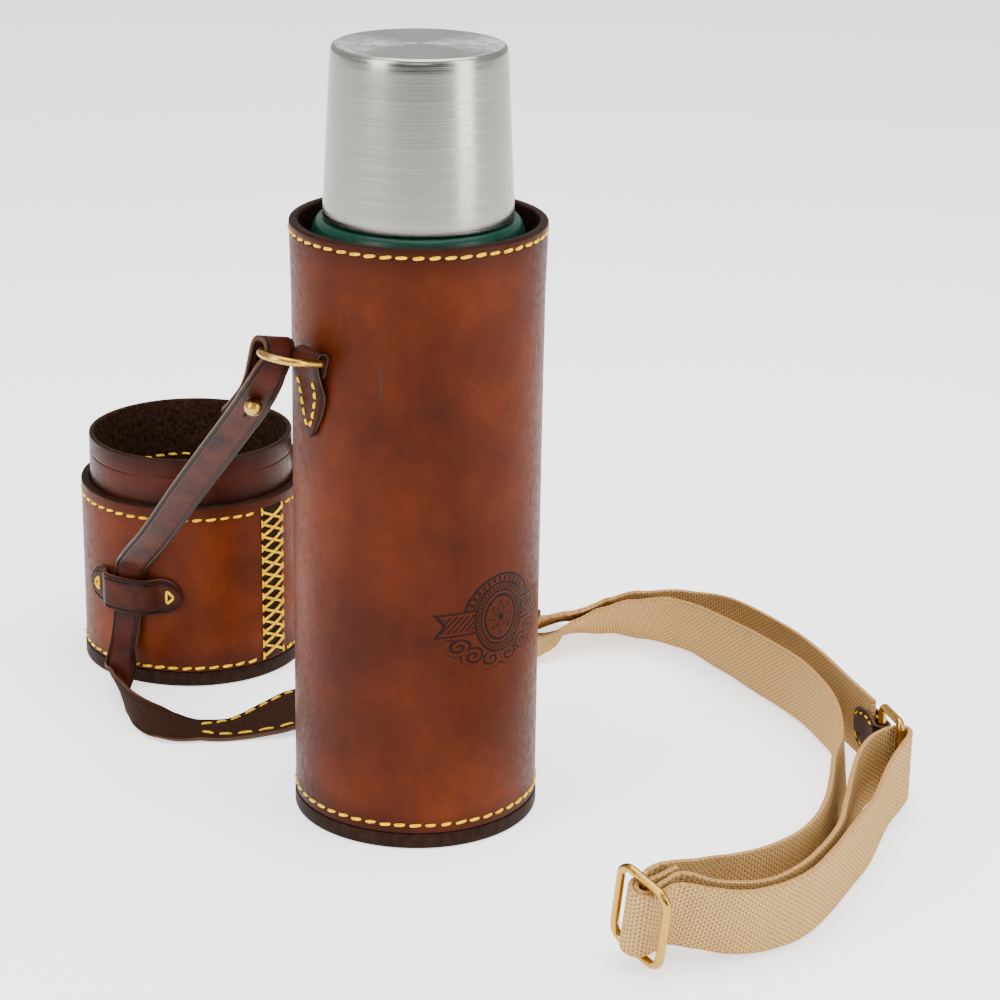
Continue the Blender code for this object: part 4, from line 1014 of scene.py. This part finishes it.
FRONT_RUN = (
    (112.5, -152, 20.6, 0.04, -0.25, 0.97), (126, -151, 18.4, 0.04, -0.22, 0.97),
    (140, -145, 17.3, 0.05, -0.18, 0.98), (154.5, -133.5, 17.1, 0.05, -0.13, 0.99),
    (167, -114.5, 17.1, 0.05, -0.08, 0.99), (179.4, -90.5, 17.1, 0.04, -0.05, 1),
    (190.5, -68.5, 17.2, 0.04, -0.02, 1), (202, -38, 18.4, 0.03, -0.01, 1), (210.5, -22, 20, 0, 0, 1),
    (215.3, -11.5, 20.6, 0, 0, 1), (214.6, -6.2, 20.6, 0, 0, 1), (211, -5, 20.6, 0, 0, 1),
    (204.5, -8.2, 20.6, 0, 0, 1), (197, -16, 20, 0, 0, 1), (190.4, -29, 18.8, 0, 0, 1),
    (184.8, -47, 17.4, 0, 0, 1), (178.8, -70, 17.2, 0.02, -0.02, 1), (172.6, -92, 17.1, 0.04, -0.05, 1),
    (162, -113, 17.1, 0.05, -0.08, 0.99), (150.5, -129.2, 17.1, 0.05, -0.12, 0.99),
    (137.5, -140, 17.3, 0.05, -0.16, 0.98), (124.5, -144.2, 18.6, 0.04, -0.2, 0.97),
    (113, -145.8, 21, 0.04, -0.24, 0.97))
SHORT_WEBBING = (
    (34, 197.5, 2.6, -0.2, -0.97, 0.04), (48, 193.6, 3.4, -0.12, -0.97, 0.12),
    (63, 190, 4.6, 0, -0.97, 0.2), (78, 175.8, 13.6, 0, -0.86, 0.51),
    (95.5, 178.4, 15.6, -0.1, -0.7, 0.71), (113.2, 176, 16.4, -0.17, -0.45, 0.88),
    (135.5, 167.8, 17, -0.1, -0.2, 0.97), (156.5, 152.6, 17.2, 0, -0.05, 1),
    (178.5, 116, 17.2, 0, 0, 1), (189.5, 88, 17.2, 0, 0, 1), (198.3, 56, 17.4, 0, 0, 1),
    (203, 33, 19.4, 0, 0, 1), (204.9, 21.5, 20.6, 0, 0, 1))
CHAPE = (
    (199.6, 38, 19.2, 0, 0, 1, 8), (200.3, 34, 19.6, 0, 0, 1, 17), (202.3, 22, 20.6, 0, 0, 1, 21),
    (203.2, 14, 20.6, 0, 0, 1, 20), (203.5, 9.6, 20.6, 0, 0, 1, 20), (204.9, 7.7, 20.6, 0, 0, 1, 20),
    (207.4, 7.2, 20.6, 0, 0, 1, 20), (209.3, 8.7, 20.6, 0, 0, 1, 20), (209.8, 11.2, 20.6, 0, 0, 1, 20),
    (209, 15, 20.6, 0, 0, 1, 20), (207.5, 22.5, 20.6, 0, 0, 1, 21), (205.6, 34.5, 19.6, 0, 0, 1, 17),
    (204.8, 38.5, 19.2, 0, 0, 1, 8))
SLIDE_CENTRE = np.array((87.2, -155.1, 23.1))
SLIDE_UP = np.array((0.06, -0.26, 0.964))
SLIDE_UP = SLIDE_UP / np.linalg.norm(SLIDE_UP)
SLIDE_ACROSS = np.array((0.62, -0.76, -0.20))
SLIDE_ACROSS = SLIDE_ACROSS - SLIDE_UP * SLIDE_ACROSS.dot(SLIDE_UP)
SLIDE_ACROSS = SLIDE_ACROSS / np.linalg.norm(SLIDE_ACROSS)
SLIDE_THROUGH = np.cross(SLIDE_UP, SLIDE_ACROSS)


def in_slide(*places):
    """Stations by their distance through the slide and across its bars."""
    return [(*(SLIDE_CENTRE + SLIDE_THROUGH * through + SLIDE_ACROSS * across), *SLIDE_UP)
            for through, across in places]


def turn(radius, start, end):
    """Stations round a bar of the slide."""
    return in_slide(*((radius * math.cos(a), radius * math.sin(a))
                      for a in np.radians(np.linspace(start, end, 7))))


def webbing(stations, per):
    """A strip of webbing with this many fine rows to each station."""
    return Ribbon([(*station, WEBBING_WIDTH) for station in stations], WEBBING_THICKNESS, per)


def long_webbing():
    """The webbing in ten lengths, through the slide, round the loop ring and back to its bar."""
    far = [*LONG_WEBBING, *in_slide((11.0, -6.6), (4.0, -5.7))]
    first_turn = turn(5.6, 270, 90)
    near = [*in_slide((5.0, 5.8), (12.0, 6.6)), *FRONT_RUN,
            *in_slide((17.0, 2.3), (10.0, 1.9), (4.5, 2.3))]
    last_turn = turn(3.25, 90, 270) + in_slide((4.5, -2.2), (10.0, -1.6), (18.0, -1.4))
    stations = far + first_turn + near + last_turn
    per = 6
    strip = webbing(stations, per)
    n0, n1 = len(LONG_WEBBING) - 3, len(far) - 1
    f0 = len(far) + len(first_turn) + 2
    lengths = (("far", 0, "case"), ("far_end", n0, ("case", "slide_body")),
               ("turn", n1, "slide_body"), ("near_start", n1 + 8, ("slide_body", "case")),
               ("near", f0 + 3, "case"), ("ring_start", f0 + 6, ("case", "loop_ring_body")),
               ("ring_end", f0 + 10, ("loop_ring_body", "case")), ("under", f0 + 14, "case"),
               ("under_end", f0 + 20, ("case", "slide_body")), ("bar_turn", f0 + 24, "slide_body"))
    stops = [start for _, start, _ in lengths[1:]] + [len(stations) - 1]
    for (label, first, body), last in zip(lengths, stops):
        first, last = first * per, last * per
        blended = isinstance(body, tuple)
        made, flat = strip.piece("webbing_" + label, first, last, "canvas",
                                 None if blended else body, "webbing_long")
        if blended:
            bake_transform(made)


def short_webbing():
    """The webbing from the rear billet to the loop ring, and the leather chape round the ring."""
    strip = webbing(SHORT_WEBBING, FINE)
    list(strip.piece("webbing_short_run", 0, strip.end, "canvas", "case", "webbing_short"))
    chape = Ribbon(CHAPE, CHAPE_THICKNESS)
    chape.piece("chape_leather", 0, chape.end, "strap", "case", "webbing_chape")
    parts = []
    for first, last in ((4, 25), (70, 91)):
        for sign in (-1, 1):
            index = first
            while index < last:
                after = chape.onward(index, CHAPE_STITCH, last)
                for side in (1, -1):
                    ends = [chape.at(row, sign * max(chape.width[row] / 2 - 2.4, 0.5), side * 0.95)
                            for row in (index, after)]
                    parts.append(stitch(*ends, chape.normal[index] * side, 0.5))
                index = after + 2
    thread("chape_stitches", parts, "case")


def rounded_path(centre, a, b, half_a, half_b, corner):
    """A rounded rectangle in the plane of a and b."""
    points = []
    for quarter, (sa, sb) in enumerate(((1, 1), (-1, 1), (-1, -1), (1, -1))):
        hub = centre + a * sa * (half_a - corner) + b * sb * (half_b - corner)
        for step in range(11):
            angle = math.pi / 2 * (quarter + step / 10)
            points.append(hub + (a * math.cos(angle) + b * math.sin(angle)) * corner)
    return points


SLIDE_HALF_WIDTH, SLIDE_HALF_HEIGHT = 13.2, 18.4
LOOP_HEIGHT, LOOP_HALF_HEIGHT = 20.65, 18.65


def buckles():
    """The three-bar slide and the loop ring."""
    tall = SLIDE_UP * SLIDE_HALF_HEIGHT
    frame_path = rounded_path(SLIDE_CENTRE, SLIDE_ACROSS, SLIDE_UP, SLIDE_HALF_WIDTH,
                              SLIDE_HALF_HEIGHT, 6.0)
    bar = [SLIDE_CENTRE - tall, SLIDE_CENTRE, SLIDE_CENTRE + tall]
    parts = [sweep(frame_path, BUCKLE_WIRE, SLIDE_THROUGH),
             sweep(bar, RING_WIRE, SLIDE_THROUGH, closed=False, sides=14)]
    make("slide_brass", *joined(parts), "brass", "slide_body", "strap_slide", sharp=60)
    near, far = np.array((211.5, -9.5, 0)), np.array((206.6, 10.4, 0))
    width = np.linalg.norm(far - near)
    along, up = (far - near) / width, np.array((0, 0, 1.0))
    path = rounded_path((near + far) / 2 + up * LOOP_HEIGHT, along, up, width / 2,
                        LOOP_HALF_HEIGHT, 3.4)
    make("loop_brass", *sweep(path, BUCKLE_WIRE, np.cross(along, up)), "brass", "loop_ring_body",
         "loop_ring", sharp=60)


FRONT_BAR = (-44.8, -36.3, RING_HEIGHT)
BACK_BAR = (40.8, 40.8, RING_HEIGHT)
leather_case()
leather_lid()
keeper("keeper_front_band", -29.0, "keeper_front")
keeper("keeper_back_band", 151.0, "keeper_back")
flask_and_cup()
billet("front_billet", FRONT_BILLET, "billet_front", "ring_front_body", (12, 16, 18),
       (-66.0, -26.5, 192.0), (-0.192, -0.736, -0.635), 25)
billet("back_billet", BACK_BILLET, "billet_back", "ring_back_body", (10, 15, 17),
       (34.9, 69.7, 187.1), (0.612, 0.612, 0.50), 23)
dee("dee_front", FRONT_BAR, (-0.76, -0.616, 0.208), (0.63, -0.777, 0.0), "ring_front_body",
    "ring_front")
dee("dee_back", BACK_BAR, (0.354, 0.354, -0.866), (-0.707, 0.707, 0.0), "ring_back_body",
    "ring_back")
tab("tab_front", -53.5, -49.0, FRONT_BAR, "ring_tab_front")
tab("tab_back", 131.0, 134.5, BACK_BAR, "ring_tab_back")
long_webbing()
short_webbing()
buckles()

# ---------------------------------------------------------------- kept nodes
# Nodes drawn as they are in CAD, with the look each one takes.
KEPT = {"case_floor_pad": "suede", "lid_lining_disc": "suede", "flask_inner_vessel": "steel",
        "flask_base_cap": "plastic", "neck_collar": "plastic", "stopper_body": "plastic",
        "stopper_grip": "plastic", "stopper_gasket": "seal", "cup_lining": "plastic"}
for node, look in KEPT.items():
    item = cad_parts[node]
    for index in range(max(1, len(item.material_slots))):
        if item.material_slots:
            item.material_slots[index].material = LOOKS[look]
        else:
            item.data.materials.append(LOOKS[look])

# ---------------------------------------------------------------- stage
def area_light(name, place, target, size, power):
    """A soft light that looks at its target, in metres and watts."""
    data = bpy.data.lights.new(name, "AREA")
    data.shape = "RECTANGLE"
    data.size, data.size_y = size
    data.energy = power
    made = bpy.data.objects.new(name, data)
    bpy.context.scene.collection.objects.link(made)
    made.location = place
    made.rotation_euler = (Vector(target) - Vector(place)).to_track_quat("-Z", "Y").to_euler()


def white_floor():
    """A floor that glows a little, so that it comes out as white as the photo's paper."""
    bpy.ops.mesh.primitive_plane_add(size=8, location=(0, 0, 0))
    floor = bpy.context.object
    floor.name = "floor"
    look = plain("floor_look", (0.93, 0.93, 0.93), (0.95, 0.95, 0.95), 0.7, 3, 0.0)
    shader = look.node_tree.nodes["Principled BSDF"]
    shader.inputs["Emission Color"].default_value = (1, 1, 1, 1)
    shader.inputs["Emission Strength"].default_value = 1.2
    floor.data.materials.append(look)


def studio_world():
    """White all round, dim in front of the object and brighter behind it."""
    world = bpy.data.worlds.new("studio")
    bpy.context.scene.world = world
    world.use_nodes = True
    tree = world.node_tree
    sky = tree.nodes.new("ShaderNodeTexCoord")
    split = tree.nodes.new("ShaderNodeSeparateXYZ")
    falloff = tree.nodes.new("ShaderNodeMapRange")
    falloff.interpolation_type = "SMOOTHSTEP"
    for key, value in (("From Min", -0.95), ("From Max", -0.25), ("To Min", 0.15), ("To Max", 0.75)):
        falloff.inputs[key].default_value = value
    tree.links.new(sky.outputs["Generated"], split.inputs[0])
    tree.links.new(split.outputs[1], falloff.inputs["Value"])
    background = tree.nodes["Background"]
    tree.links.new(falloff.outputs[0], background.inputs[1])
    background.inputs[0].default_value = (1, 1, 1, 1)


# The photo's camera: its place in metres, its turns in radians.
CAMERA_PLACE = (0, -1.10733, 0.53392)
YAW, PITCH, ROLL = 0.0318, 0.3428, 0.0157


def photo_camera():
    data = bpy.data.cameras.new("camera")
    data.sensor_width = 36
    data.lens = 99.61
    data.clip_start = 0.05
    data.clip_end = 30
    camera = bpy.data.objects.new("camera", data)
    bpy.context.scene.collection.objects.link(camera)
    forward = Vector((math.sin(YAW) * math.cos(PITCH), math.cos(YAW) * math.cos(PITCH),
                      -math.sin(PITCH)))
    right = Vector((math.cos(YAW), -math.sin(YAW), 0))
    above = right.cross(forward)
    axis_x = math.cos(ROLL) * right + math.sin(ROLL) * above
    axis_y = -math.sin(ROLL) * right + math.cos(ROLL) * above
    turned = Matrix((axis_x, axis_y, -forward)).transposed().to_4x4()
    camera.matrix_world = Matrix.Translation(CAMERA_PLACE) @ turned
    bpy.context.scene.camera = camera


white_floor()
area_light("key_left", (-0.9, -0.7, 0.75), (0, 0, 0.14), (0.5, 1.1), 14)
area_light("fill_right", (1.0, -0.6, 0.6), (0, 0, 0.12), (0.5, 1.1), 12)
area_light("top_soft", (0.1, 0.1, 1.5), (0, 0, 0.1), (1.4, 1.4), 36)
area_light("front_soft", (0.0, -1.6, 0.9), (0, 0, 0.1), (0.9, 0.5), 3)
studio_world()
photo_camera()
